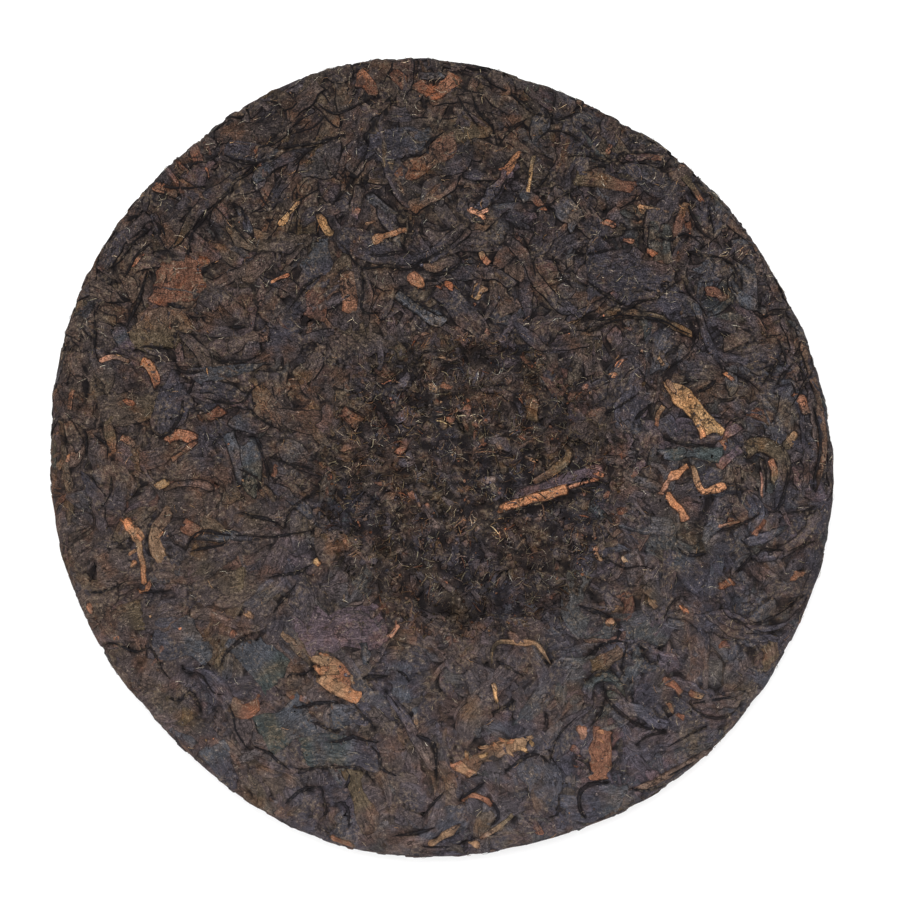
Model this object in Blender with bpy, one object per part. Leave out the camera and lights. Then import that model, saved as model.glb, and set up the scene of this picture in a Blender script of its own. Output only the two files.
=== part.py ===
"""A pressed cake of pu erh tea, lying on its domed face with the knot dimple up.

The cake is one solid: a flat round loaf with a soft rim, its dimple, and the larger leaves, stems and
ragged rim tips that stand out of its surface. +Z is up, +X is the photograph's right and +Y its top.
The origin is the middle of the cake's outline, on the surface that it rests on.
"""

import math
import random
from bisect import bisect_left

import bpy
from mathutils import Vector, noise

MM = 0.001

# Driving dimensions: a full-size cake, as such cakes are pressed.
CAKE_DIAMETER = 200 * MM
CAKE_THICKNESS = 24.2 * MM  # up to the fullest ring round the dimple; the standing leaves make it 25 mm
WIDEST_LEVEL = 12.5 * MM  # height of the rim's widest line
KNOT_FACE_FALL = 3.5 * MM  # how far the dimpled face sinks from its middle to the rim's shoulder
DOME_RISE = 6 * MM  # how far the domed face climbs from the resting spot to the rim's shoulder
RIM_SQUARENESS = 6  # exponent of the superellipse that rounds the rim: 2 is a lens, more is a drum
RESTING_SPOT_RADIUS = 22 * MM

# The outline is not a circle. Each lobe: how many round the rim, height, direction of one peak in degrees.
OUTLINE_LOBES = (
    (1, 1.0 * MM, 232),
    (2, 1.95 * MM, 122),
    (3, 0.75 * MM, 115),
    (4, 0.45 * MM, 1),
    (5, 0.33 * MM, 37),
    (7, 0.44 * MM, 49),
)

# The dimple that the knotted cloth bag leaves in the middle of the upper face.
DIMPLE_CENTRE = (7 * MM, -7 * MM)
DIMPLE_RADIUS = 38 * MM
DIMPLE_FLOOR_RADIUS = 23 * MM
DIMPLE_DEPTH = 8.5 * MM
KNOT_LUMP_CENTRE = (14 * MM, 9 * MM)  # the mound that the twisted cloth left on the dimple's floor
KNOT_LUMP_RADIUS = 14 * MM
KNOT_LUMP_HEIGHT = 3.2 * MM
TWIST_FOLDS = 5  # spiral folds of the cloth
TWIST_FOLD_HEIGHT = 0.7 * MM
TWIST_TURN = 1.1  # radians that a fold turns from the floor to the lip

# The relief of the pressed leaf that has no solid of its own.
BUMP_SIZE = 10 * MM
BUMP_HEIGHT = 0.85 * MM
FINE_BUMP_SHARE = 0.6

CORE_RINGS = 19  # rings of facets from the middle of a face to the rim
PROFILE_STEPS = 400

# A leaf's section: (share of its half width, share of its proud height, share of the sink), left to right.
LEAF_SINK = 2.6 * MM  # how deep a leaf's underside lies in the cake, so that no gap is left under it
LEAF_SECTION = ((1.0, 0.0, 1.0), (0.82, 0.45, 0.0), (0.0, 1.0, 0.0), (-0.82, 0.45, 0.0), (-1.0, 0.0, 1.0))
LEAF_STATION_GAP = 6.5 * MM

KNOT_FACE, DOME_FACE = "knot_face", "dome_face"

# The leaves and stems that stand out most on the upper face, read from the photograph. Each has its
# middle and length along the leaf, in millimetres from the cake's middle, its heading in degrees
# anticlockwise from +X, its width, how many degrees it bends over its length, and how proud it stands.
SEEN_LEAVES = (
    # middle       length width heading bend proud
    ((-71, 40), 25, 12, 100, 0, 0.7),  # broad red-brown leaf with a crack across it
    ((-60, 63), 32, 4.5, 42, 12, 1.2),  # twisted leaf above it
    ((-47, 78), 16, 5, -8, 0, 0.8),
    ((-36, 66), 24, 4.5, 52, 10, 0.9),
    ((-1, 77), 21, 5, 38, 0, 1.1),
    ((-12, 80), 19, 9, 12, 0, 0.7),
    ((-1, 95), 15, 7, -5, 0, 0.6),
    ((14, 69), 16, 2.6, 52, 0, 1.3),  # stem with splayed ends
    ((-15, 54), 24, 9, -18, -30, 1.6),  # big curled leaf
    ((2, 55), 14, 4, 38, 0, 1.3),
    ((-5, 38), 17, 4, -33, 0, 1.2),  # blunt stem
    ((24, 46), 34, 5, -48, 22, 1.2),  # long twisted leaf beside the dimple
    ((49, 44), 25, 15, 12, 0, 0.8),  # broad leaf
    ((52, 34), 31, 4, 2, -62, 1.2),
    ((66, 32), 20, 4, -62, 0, 1.1),
    ((80, 42), 16, 5, -60, 40, 1.1),
    ((63, 13), 20, 6.5, -43, 0, 1.1),  # golden bud
    ((60, -5), 16, 5, 2, 0, 1.1),
    ((84, 3), 16, 5.5, -95, -40, 1.4),  # hooked rolled leaf
    ((59, -6), 11, 2.6, 48, 0, 1.2),  # the forked orange stem, one arm
    ((67, -5), 13, 2.4, -40, 60, 1.2),  # and the other
    ((83, -41), 25, 3.2, 20, 62, 1.0),  # arched stem by the rim
    ((41, -62), 22, 6, -28, -40, 1.4),  # dark twisted leaf
    ((40, -75), 14, 5, 76, 0, 0.8),  # flat piece of bark
    ((70, -63), 13, 4, 2, 0, 1.0),
    ((21, -49), 21, 2.6, 4, -80, 1.2),  # hooked stem
    ((-27, -56), 14, 8.5, -32, 0, 1.1),  # ragged orange leaf
    ((-24, -50), 19, 8, -20, 0, 0.8),
    ((-60, -62), 29, 10, -42, 0, 0.8),
    ((-22, -87), 17, 9, -85, 0, 0.7),
    ((-26, -76), 24, 10, -6, 0, 0.8),
    ((1, -93), 13, 4, 32, 0, 0.8),
    ((-70, 10), 13, 11, 60, 0, 0.9),  # rounded leaf
    ((-54, 22), 23, 5, 12, 0, 1.0),
    ((-56, 16), 15, 6, 5, 0, 1.0),
    ((-49, -4), 18, 6.5, -80, 0, 1.1),
    ((-78, -24), 16, 3.5, -80, 0, 0.9),
    ((-43, -16), 26, 6, 8, 0, 1.0),
    ((31, -6), 27, 2.6, 22, 0, 1.6),  # peeled stem across the dimple
    ((31, 0), 15, 2.2, 42, -60, 1.2),  # hooked stem beside it
    ((-90, 18), 24, 4, 70, 8, 0.8),
    ((92, 32), 24, 4, -66, 10, 0.9),
)

# Tips of leaves and stems that stick out of the rim: direction in degrees, and how far they reach.
RIM_TIPS = (
    (203, 1.2 * MM),
    (219, 0.9 * MM),
    (61, 1.6 * MM),
    (36, 1.3 * MM),
    (23, 1.2 * MM),
    (334, 1.3 * MM),
    (328, 1.0 * MM),
    (308, 1.0 * MM),
    (278, 1.2 * MM),
    (150, 0.8 * MM),
)
RIM_TIP_LENGTH = 9 * MM
RIM_TIP_WIDTH = 3.2 * MM

RANDOM_SEED = 357
UNSEEN_LEAVES = 30  # on the domed face, which the photograph doesn't show
UNSEEN_LEAF_LENGTH = (14 * MM, 32 * MM)
UNSEEN_LEAF_WIDTH = (4 * MM, 10 * MM)
RIM_LEAVES = 16  # long leaves lying along the rim
RIM_LEAF_LENGTH = (20 * MM, 36 * MM)
RIM_LEAF_WIDTH = (3 * MM, 4.5 * MM)

LEAF_COLOUR = (0.063, 0.048, 0.045, 1.0)
LEAF_ROUGHNESS = 0.8
SMOOTH_UNDER = math.radians(40)  # facets that meet at less than this are shaded as one curved surface


def clear_scene():
    for item in list(bpy.data.objects):
        bpy.data.objects.remove(item)


def smooth_step(value):
    value = min(max(value, 0.0), 1.0)
    return value * value * (3 - 2 * value)


def outline_radius(angle):
    lobes = (
        height * math.cos(count * (angle - math.radians(peak)))
        for count, height, peak in OUTLINE_LOBES
    )
    return CAKE_DIAMETER / 2 + sum(lobes)


def face_profile(face):
    """Half the cake's section on one face: (distance walked from the middle, share of the radius, height)."""
    points = []
    walked = 0.0
    for step in range(PROFILE_STEPS + 1):
        slope = math.pi / 2 * (1 - step / PROFILE_STEPS)
        across, up = math.cos(slope), math.sin(slope)
        size = (across**RIM_SQUARENESS + up**RIM_SQUARENESS) ** (-1 / RIM_SQUARENESS)
        across, up = across * size, up * size
        if face == KNOT_FACE:
            rise = CAKE_THICKNESS - WIDEST_LEVEL - KNOT_FACE_FALL * across**2
            height = WIDEST_LEVEL + rise * up
        else:
            flat = RESTING_SPOT_RADIUS / (CAKE_DIAMETER / 2)
            dome = DOME_RISE * (max(across - flat, 0) / (1 - flat)) ** 2
            height = WIDEST_LEVEL - (WIDEST_LEVEL - dome) * up
        if points:
            stride = (across - points[-1][1]) * CAKE_DIAMETER / 2
            walked += math.hypot(stride, height - points[-1][2])
        points.append((walked, across, height))
    return points


PROFILES = {face: face_profile(face) for face in (KNOT_FACE, DOME_FACE)}
WALKS = {face: [point[0] for point in PROFILES[face]] for face in PROFILES}


def along_profile(face, walked):
    """The share of the radius and the height at a distance walked from the middle of a face."""
    points = PROFILES[face]
    place = min(max(bisect_left(WALKS[face], walked), 1), PROFILE_STEPS)
    (start, across, height), (end, next_across, next_height) = points[place - 1 : place + 1]
    share = (walked - start) / (end - start)
    share = min(max(share, 0.0), 1.0)
    return across + share * (next_across - across), height + share * (next_height - height)


def dimple_drop(x, y):
    """How far the cloth's knot pressed the upper face down at a point."""
    from_centre = math.hypot(x - DIMPLE_CENTRE[0], y - DIMPLE_CENTRE[1])
    if from_centre >= DIMPLE_RADIUS:
        return 0.0
    wall = (DIMPLE_RADIUS - from_centre) / (DIMPLE_RADIUS - DIMPLE_FLOOR_RADIUS)
    basin = DIMPLE_DEPTH * smooth_step(wall)
    from_lump = math.hypot(x - KNOT_LUMP_CENTRE[0], y - KNOT_LUMP_CENTRE[1])
    lump = KNOT_LUMP_HEIGHT * smooth_step(1 - from_lump / KNOT_LUMP_RADIUS)
    turn = math.atan2(y - DIMPLE_CENTRE[1], x - DIMPLE_CENTRE[0])
    spiral = turn + TWIST_TURN * from_centre / DIMPLE_FLOOR_RADIUS
    fold = TWIST_FOLD_HEIGHT * math.cos(TWIST_FOLDS * spiral) * smooth_step(wall)
    return basin - lump - fold * smooth_step(from_centre / DIMPLE_FLOOR_RADIUS)


def surface_point(face, x, y, proud=0.0):
    """The point of a face's smooth surface above (x, y), measured by walking from the face's middle."""
    walked, angle = math.hypot(x, y), math.atan2(y, x)
    across, height = along_profile(face, walked)
    radius = across * outline_radius(angle)
    if face == KNOT_FACE:
        height -= dimple_drop(x, y)
    point = Vector((radius * math.cos(angle), radius * math.sin(angle), height))
    return point + proud * surface_normal(face, x, y) if proud else point


def surface_normal(face, x, y):
    step = 0.5 * MM
    edge = WALKS[face][-1] - 2 * step
    walked = math.hypot(x, y)
    if walked > edge:
        x, y = x * edge / walked, y * edge / walked
    along_x = surface_point(face, x + step, y) - surface_point(face, x - step, y)
    along_y = surface_point(face, x, y + step) - surface_point(face, x, y - step)
    normal = along_x.cross(along_y).normalized()
    return normal if face == KNOT_FACE else -normal


def leaf_bumps(point):
    """The uneven surface of pressed leaf, as a height."""
    broad = noise.noise(point / BUMP_SIZE)
    fine = noise.noise(point / BUMP_SIZE * 2.3 + Vector((7.0, 3.0, 1.0)))
    return BUMP_HEIGHT * (broad + FINE_BUMP_SHARE * fine)


def core_point(face, ring, step):
    """A corner of the core: ring 0 is the middle of a face, and ring k has 6k corners."""
    walked = WALKS[face][-1] * ring / CORE_RINGS
    angle = math.tau * step / (6 * ring) if ring else 0.0
    x, y = walked * math.cos(angle), walked * math.sin(angle)
    point = surface_point(face, x, y)
    resting = face == DOME_FACE and walked <= RESTING_SPOT_RADIUS
    if resting:
        return Vector((point.x, point.y, 0.0))
    point += surface_normal(face, x, y) * leaf_bumps(point)
    point.z = max(point.z, 0.0)
    return point


def ring_faces(ring, first_inner, first_outer):
    """The triangles between ring - 1 and ring of a round mesh whose ring k has 6k corners."""
    inner_count, outer_count = max(6 * (ring - 1), 1), 6 * ring
    faces = []
    for side in range(6):
        for step in range(ring):
            outer = side * ring + step
            inner = side * (ring - 1) + step
            outer_next = first_outer + (outer + 1) % outer_count
            inner_here = first_inner + inner % inner_count
            faces.append((inner_here, first_outer + outer, outer_next))
            if step < ring - 1:
                inner_next = first_inner + (inner + 1) % inner_count
                faces.append((inner_here, outer_next, inner_next))
    return faces


def new_object(name, points, faces):
    mesh = bpy.data.meshes.new(name)
    mesh.from_pydata(points, [], faces)
    mesh.validate()
    item = bpy.data.objects.new(name, mesh)
    bpy.context.scene.collection.objects.link(item)
    return item


def make_core():
    """The cake without its standing leaves: two round faces of triangles that meet at the widest line."""
    points, faces = [], []
    rim = {}
    for face in (KNOT_FACE, DOME_FACE):
        first_inner = len(points)
        points.append(core_point(face, 0, 0))
        for ring in range(1, CORE_RINGS + 1):
            shared = face == DOME_FACE and ring == CORE_RINGS
            first_outer = rim["first"] if shared else len(points)
            if not shared:
                points += [core_point(face, ring, step) for step in range(6 * ring)]
            made = ring_faces(ring, first_inner, first_outer)
            faces += made if face == KNOT_FACE else [corners[::-1] for corners in made]
            first_inner = first_outer
        rim.setdefault("first", first_inner)
    return new_object("tea_cake", points, faces)


def leaf_outline(share):
    """A leaf's half width along it, from blunt end to blunt end, as a share of its fullest half width."""
    return 0.35 + 0.65 * math.sin(math.pi * (0.06 + 0.88 * share)) ** 0.6


def make_leaf(name, face, middle, length, width, heading, bend, proud):
    """A pressed leaf or stem: a low ridge that follows the surface, bends along an arc and is sunk in it."""
    stations = max(3, round(length / LEAF_STATION_GAP) + 1)
    x, y = middle
    angle = heading - bend / 2
    path = []
    for station in range(stations):
        path.append((x, y, angle))
        stride = length / (stations - 1)
        angle += bend / (stations - 1)
        x += stride * math.cos(angle)
        y += stride * math.sin(angle)
    shift_x = middle[0] - (path[0][0] + path[-1][0]) / 2
    shift_y = middle[1] - (path[0][1] + path[-1][1]) / 2
    points = []
    for station, (x, y, angle) in enumerate(path):
        x, y = x + shift_x, y + shift_y
        half = width / 2 * leaf_outline(station / (stations - 1))
        for share, lift, sink in LEAF_SECTION:
            across = share * half
            px, py = x - across * math.sin(angle), y + across * math.cos(angle)
            bumps = leaf_bumps(surface_point(face, px, py))
            points.append(surface_point(face, px, py, lift * proud - sink * LEAF_SINK + bumps))
    corners_in_section = len(LEAF_SECTION)
    last = corners_in_section * (stations - 1)
    faces = [tuple(range(corners_in_section))[::-1]]
    for first in range(0, last, corners_in_section):
        for corner in range(corners_in_section):
            here, after = first + corner, first + (corner + 1) % corners_in_section
            faces.append((here, after, after + corners_in_section, here + corners_in_section))
    faces.append(tuple(range(last, last + corners_in_section)))
    if face == DOME_FACE:
        faces = [corners[::-1] for corners in faces]
        for point in points:
            point.z = max(point.z, 0.0)
    return new_object(name, points, faces)


def make_seen_leaves():
    return [
        make_leaf(
            f"seen_leaf_{number:02d}",
            KNOT_FACE,
            (middle[0] * MM, middle[1] * MM),
            length * MM,
            width * MM,
            math.radians(heading),
            math.radians(bend),
            proud * MM,
        )
        for number, (middle, length, width, heading, bend, proud) in enumerate(SEEN_LEAVES)
    ]


def make_unseen_leaves(draw):
    """Leaves on the domed face, spread evenly by the golden angle and each turned at random."""
    golden_angle = math.pi * (3 - math.sqrt(5))
    innermost = RESTING_SPOT_RADIUS + UNSEEN_LEAF_LENGTH[1] / 2
    outermost = WALKS[DOME_FACE][-1] - 14 * MM
    leaves = []
    for number in range(UNSEEN_LEAVES):
        share = (number + 0.5) / UNSEEN_LEAVES
        walked = math.sqrt(innermost**2 + share * (outermost**2 - innermost**2))
        angle = number * golden_angle
        leaves.append(
            make_leaf(
                f"unseen_leaf_{number:02d}",
                DOME_FACE,
                (walked * math.cos(angle), walked * math.sin(angle)),
                draw.uniform(*UNSEEN_LEAF_LENGTH),
                draw.uniform(*UNSEEN_LEAF_WIDTH),
                draw.uniform(0, math.pi),
                math.radians(draw.uniform(-30, 30)),
                draw.uniform(0.6, 1.0) * MM,
            )
        )
    return leaves


def make_rim_leaves(draw):
    """Long leaves that lie along the rim, alternately just above and just below its widest line."""
    leaves = []
    for number in range(RIM_LEAVES):
        face = KNOT_FACE if number % 2 else DOME_FACE
        walked = WALKS[face][-1] - draw.uniform(5.0, 7.5) * MM
        angle = math.tau * (number + draw.uniform(-0.3, 0.3)) / RIM_LEAVES
        length = draw.uniform(*RIM_LEAF_LENGTH)
        leaves.append(
            make_leaf(
                f"rim_leaf_{number:02d}",
                face,
                (walked * math.cos(angle), walked * math.sin(angle)),
                length,
                draw.uniform(*RIM_LEAF_WIDTH),
                angle + math.pi / 2,
                length / walked,
                draw.uniform(0.4, 0.6) * MM,
            )
        )
    return leaves


def make_rim_tip(name, direction, reach):
    """A slim wedge that lies along the rim and leaves it at its tip, like the end of a pressed leaf."""
    root = direction - RIM_TIP_LENGTH / (CAKE_DIAMETER / 2)
    points = []
    for angle, beyond, width in ((root, -2.5 * MM, 1.0), (direction, reach, 0.35)):
        outward = Vector((math.cos(angle), math.sin(angle), 0))
        middle = outward * (outline_radius(angle) + beyond) + Vector((0, 0, WIDEST_LEVEL + 1.5 * MM))
        half = Vector((0, 0, RIM_TIP_WIDTH / 2 * width))
        inward = outward * 2.4 * MM
        points += [middle - half - inward, middle - half, middle + half, middle + half - inward]
    faces = [(0, 1, 2, 3), (7, 6, 5, 4)]
    faces += [(corner, corner + 4, (corner + 1) % 4 + 4, (corner + 1) % 4) for corner in range(4)]
    return new_object(name, points, faces)


def fuse(core, leaves):
    """Joins the leaves to the core, applies the join and removes what was joined."""
    group = bpy.data.collections.new("standing_leaves")
    for leaf in leaves:
        group.objects.link(leaf)
    join = core.modifiers.new("fuse", "BOOLEAN")
    join.operation = "UNION"
    join.operand_type = "COLLECTION"
    join.collection = group
    graph = bpy.context.evaluated_depsgraph_get()
    fused = bpy.data.meshes.new_from_object(core.evaluated_get(graph))
    core.modifiers.clear()
    core.data = fused
    for leaf in leaves:
        bpy.data.objects.remove(leaf)
    bpy.data.collections.remove(group)


def settle(cake):
    """Puts the origin under the middle of the cake's outline, at the level that it rests on."""
    points = [vertex.co.copy() for vertex in cake.data.vertices]
    low = Vector([min(point[axis] for point in points) for axis in range(3)])
    high = Vector([max(point[axis] for point in points) for axis in range(3)])
    shift = Vector(((low.x + high.x) / 2, (low.y + high.y) / 2, low.z))
    for vertex in cake.data.vertices:
        vertex.co -= shift


def pressed_leaf_material():
    material = bpy.data.materials.new("pressed_leaf")
    material.use_nodes = True
    shader = material.node_tree.nodes["Principled BSDF"]
    shader.inputs["Base Color"].default_value = LEAF_COLOUR
    shader.inputs["Roughness"].default_value = LEAF_ROUGHNESS
    shader.inputs["Metallic"].default_value = 0.0
    return material


def main():
    clear_scene()
    draw = random.Random(RANDOM_SEED)
    cake = make_core()
    leaves = make_seen_leaves() + make_unseen_leaves(draw) + make_rim_leaves(draw)
    leaves += [
        make_rim_tip(f"rim_tip_{number:02d}", math.radians(direction), reach)
        for number, (direction, reach) in enumerate(RIM_TIPS)
    ]
    fuse(cake, leaves)
    settle(cake)
    cake.data.materials.clear()
    cake.data.materials.append(pressed_leaf_material())
    cake.data.shade_smooth()
    cake.data.set_sharp_from_angle(angle=SMOOTH_UNDER)


main()
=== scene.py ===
# %% [markdown]
# A cake of pu erh tea, lying with its knot dimple up.
#
# The real cake is a few thousand dried leaves that were steamed soft, twisted into a cloth bag and pressed
# under a stone. What the eye reads is not one surface but a mosaic: every leaf keeps its own colour and
# grain, lies over the ones below it, and ends in a thin dark crevice where the next one begins.
#
# A noise texture on a disc can't give that. This lesson lays the leaves one at a time, each over what is
# already there, and then presses the whole pile flat, which is what the stone does.

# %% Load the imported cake
import math

import bpy
import numpy as np
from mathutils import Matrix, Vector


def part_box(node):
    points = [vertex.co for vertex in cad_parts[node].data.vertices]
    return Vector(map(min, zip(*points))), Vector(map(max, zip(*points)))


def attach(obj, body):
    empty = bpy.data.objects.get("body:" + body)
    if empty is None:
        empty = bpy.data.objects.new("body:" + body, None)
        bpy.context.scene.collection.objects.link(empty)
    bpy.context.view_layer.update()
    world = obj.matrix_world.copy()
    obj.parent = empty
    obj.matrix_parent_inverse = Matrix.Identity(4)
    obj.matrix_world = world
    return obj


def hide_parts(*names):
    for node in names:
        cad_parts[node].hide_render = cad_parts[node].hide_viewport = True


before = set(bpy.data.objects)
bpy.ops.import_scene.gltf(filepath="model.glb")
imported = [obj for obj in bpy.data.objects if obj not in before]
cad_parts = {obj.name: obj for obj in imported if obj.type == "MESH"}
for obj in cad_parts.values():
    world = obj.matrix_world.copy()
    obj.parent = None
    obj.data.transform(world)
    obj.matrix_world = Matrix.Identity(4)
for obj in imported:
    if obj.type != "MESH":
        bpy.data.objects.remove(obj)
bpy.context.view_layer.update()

cake_low, cake_high = (np.array(corner) * 1000 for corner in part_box("tea_cake"))
print("The solid cake measures", np.round(cake_high - cake_low, 1), "mm")

# %% [markdown]
# Every size below is in millimetres, and becomes metres only when a mesh is made.
#
# The cake's smooth form is a half section turned round an outline that isn't quite a circle. The section is
# walked from the middle of the knot face, over the rim, to the middle of the domed face, so one number, the
# distance walked, says where on the cake a point is. A leaf near the rim then simply bends over it.

# %% The smooth form of the cake
METRE = 0.001
CAKE_DIAMETER = 200.0
CAKE_THICKNESS = 24.2
WIDEST_LEVEL = 12.5
KNOT_FACE_FALL = 3.5
DOME_RISE = 6.0
RIM_SQUARENESS = 6
RESTING_SPOT_RADIUS = 22.0
OUTLINE_LOBES = ((1, 1.0, 232), (2, 1.95, 122), (3, 0.75, 115), (4, 0.45, 1), (5, 0.33, 37), (7, 0.44, 49))
KNOT_FACE, DOME_FACE = "knot_face", "dome_face"
PROFILE_STEPS = 600  # stops on each half of the section


def outline_radius(angle):
    """The outline at an angle: a circle with a few broad lobes."""
    radius = CAKE_DIAMETER / 2
    for count, height, peak in OUTLINE_LOBES:
        radius = radius + height * np.cos(count * (angle - math.radians(peak)))
    return radius


def half_section():
    """The share of the radius and the height along the section, and the distance walked to each."""
    slope = np.linspace(np.pi / 2, 0, PROFILE_STEPS + 1)
    across, up = np.cos(slope), np.sin(slope)
    size = (across**RIM_SQUARENESS + up**RIM_SQUARENESS) ** (-1 / RIM_SQUARENESS)
    across, up = across * size, up * size
    knot_rise = CAKE_THICKNESS - WIDEST_LEVEL - KNOT_FACE_FALL * across**2
    flat = RESTING_SPOT_RADIUS / (CAKE_DIAMETER / 2)
    dome = DOME_RISE * (np.maximum(across - flat, 0) / (1 - flat)) ** 2
    knot_side = WIDEST_LEVEL + knot_rise * up
    dome_side = WIDEST_LEVEL - (WIDEST_LEVEL - dome) * up
    across = np.concatenate([across, across[-2::-1]])
    height = np.concatenate([knot_side, dome_side[-2::-1]])
    strides = np.hypot(np.diff(across) * CAKE_DIAMETER / 2, np.diff(height))
    return across, height, np.concatenate([[0], np.cumsum(strides)])


ACROSS, HEIGHT, WALK = half_section()
RIM_WALK, WHOLE_WALK = WALK[PROFILE_STEPS], WALK[-1]
print(f"From the middle of the knot face it is {RIM_WALK:.1f} mm to the rim's widest line")

# %% [markdown]
# The dimple is where the bag's twisted knot was pressed in. It is a basin with a soft wall, a mound where
# the twist ended, and low spiral folds.

# %% The knot dimple
DIMPLE_CENTRE = (7.0, -7.0)
DIMPLE_RADIUS = 38.0
DIMPLE_FLOOR_RADIUS = 23.0
DIMPLE_DEPTH = 8.5
KNOT_LUMP_CENTRE = (14.0, 9.0)
KNOT_LUMP_RADIUS = 14.0
KNOT_LUMP_HEIGHT = 3.2
TWIST_FOLDS = 5
TWIST_FOLD_HEIGHT = 0.7
TWIST_TURN = 1.1  # radians that a fold turns from the middle to the edge of the floor


def smooth_step(value):
    """A soft step from 0 to 1."""
    value = np.clip(value, 0, 1)
    return value * value * (3 - 2 * value)


def from_dimple(x, y):
    """How far a point is from the dimple's middle."""
    return np.hypot(x - DIMPLE_CENTRE[0], y - DIMPLE_CENTRE[1])


def dimple_drop(x, y):
    """How far the knot pressed the upper face down at a point."""
    from_centre = from_dimple(x, y)
    wall = smooth_step((DIMPLE_RADIUS - from_centre) / (DIMPLE_RADIUS - DIMPLE_FLOOR_RADIUS))
    from_lump = np.hypot(x - KNOT_LUMP_CENTRE[0], y - KNOT_LUMP_CENTRE[1])
    lump = KNOT_LUMP_HEIGHT * smooth_step(1 - from_lump / KNOT_LUMP_RADIUS)
    turn = np.arctan2(y - DIMPLE_CENTRE[1], x - DIMPLE_CENTRE[0])
    spiral = turn + TWIST_TURN * from_centre / DIMPLE_FLOOR_RADIUS
    fold = TWIST_FOLD_HEIGHT * np.cos(TWIST_FOLDS * spiral) * wall
    return DIMPLE_DEPTH * wall - lump - fold * smooth_step(from_centre / DIMPLE_FLOOR_RADIUS)


def cake_point(face, x, y):
    """Where the smooth form is, for a point at (x, y) on the flattened face."""
    walked = np.hypot(x, y)
    drop = dimple_drop(x, y) if face == KNOT_FACE else 0.0
    if face == DOME_FACE:
        walked = WHOLE_WALK - walked
    angle = np.arctan2(y, x)
    radius = np.interp(walked, WALK, ACROSS) * outline_radius(angle)
    height = np.interp(walked, WALK, HEIGHT) - drop
    return np.stack([radius * np.cos(angle), radius * np.sin(angle), height], axis=-1)


round_the_rim = np.linspace(0, math.tau, 721)
rim_line = cake_point(KNOT_FACE, RIM_WALK * np.cos(round_the_rim), RIM_WALK * np.sin(round_the_rim))
OUTLINE_MIDDLE = (rim_line.min(axis=0) + rim_line.max(axis=0)) / 2 * (1, 1, 0)
print("The outline's middle is", np.round(OUTLINE_MIDDLE[:2], 2), "mm from where its lobes are measured")

RIM_INSET = 0.7  # leaves at the rim stand this much proud of the outline on average, so it starts further in
RIM_INSET_FROM, RIM_INSET_OVER = 12, 10  # how far before the rim the inset starts, and how softly
SLOPE_STEP = 0.3


def skin(face, x, y, proud):
    """The point that stands proud of the smooth form, square to it, at (x, y) on the flattened face."""
    to_rim = RIM_WALK if face == KNOT_FACE else WHOLE_WALK - RIM_WALK
    inset = smooth_step((np.hypot(x, y) - to_rim + RIM_INSET_FROM) / RIM_INSET_OVER)
    proud = proud - RIM_INSET * inset
    along_x = cake_point(face, x + SLOPE_STEP, y) - cake_point(face, x - SLOPE_STEP, y)
    along_y = cake_point(face, x, y + SLOPE_STEP) - cake_point(face, x, y - SLOPE_STEP)
    square = np.cross(along_x, along_y)
    square /= np.linalg.norm(square, axis=-1, keepdims=True)
    side = 1 if face == KNOT_FACE else -1
    return cake_point(face, x, y) - OUTLINE_MIDDLE + side * square * np.asarray(proud)[..., None]


# %% [markdown]
# The camera comes first, because the leaves that show in the photograph are placed by the pixel they show
# at. It looks straight down with a long lens, which keeps the rim's outline true. The knot face is nearer
# to the lens than the rim is, so a pixel is followed down to the face itself.

# %% The camera, and where a pixel falls on the knot face
FRAME_PIXELS = 900
OUTLINE_PIXELS = (49, 58, 834, 858)  # left, top, right and bottom of the cake in the frame
MM_PER_PIXEL = 0.2541
CAMERA_ABOVE_RIM = 900.0
SENSOR = 36.0
PIXEL_ROUNDS = 4  # how often a pixel's level and place are brought into line

middle_pixel = ((OUTLINE_PIXELS[0] + OUTLINE_PIXELS[2]) / 2, (OUTLINE_PIXELS[1] + OUTLINE_PIXELS[3]) / 2)
camera_x = (FRAME_PIXELS / 2 - middle_pixel[0]) * MM_PER_PIXEL
camera_y = (middle_pixel[1] - FRAME_PIXELS / 2) * MM_PER_PIXEL
camera_z = WIDEST_LEVEL + CAMERA_ABOVE_RIM

camera = bpy.data.objects.new("camera", bpy.data.cameras.new("camera"))
bpy.context.scene.collection.objects.link(camera)
bpy.context.scene.camera = camera
camera.location = (camera_x * METRE, camera_y * METRE, camera_z * METRE)
camera.data.sensor_width = SENSOR
camera.data.lens = SENSOR * CAMERA_ABOVE_RIM / (FRAME_PIXELS * MM_PER_PIXEL)
camera.data.clip_start = 0.01


def on_knot_face(pixel):
    """The place on the flattened knot face that shows at a pixel of the photograph."""
    ray_x = (pixel[0] - FRAME_PIXELS / 2) * MM_PER_PIXEL / CAMERA_ABOVE_RIM
    ray_y = (FRAME_PIXELS / 2 - pixel[1]) * MM_PER_PIXEL / CAMERA_ABOVE_RIM
    level = WIDEST_LEVEL
    for _ in range(PIXEL_ROUNDS):
        x = camera_x + ray_x * (camera_z - level) + OUTLINE_MIDDLE[0]
        y = camera_y + ray_y * (camera_z - level) + OUTLINE_MIDDLE[1]
        angle = math.atan2(y, x)
        share = min(math.hypot(x, y) / outline_radius(angle), 0.999)
        walked = np.interp(share, ACROSS[: PROFILE_STEPS + 1], WALK[: PROFILE_STEPS + 1])
        place = walked * math.cos(angle), walked * math.sin(angle)
        level = float(cake_point(KNOT_FACE, np.float64(place[0]), np.float64(place[1]))[2])
    return place


def face_places(pixels):
    """The places on the knot face for pixels written as x, y, x, y and so on."""
    return [on_knot_face(pixel) for pixel in zip(pixels[::2], pixels[1::2])]


print(f"The lens is {camera.data.lens:.0f} mm, and a pixel is {MM_PER_PIXEL} mm at the rim")

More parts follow.
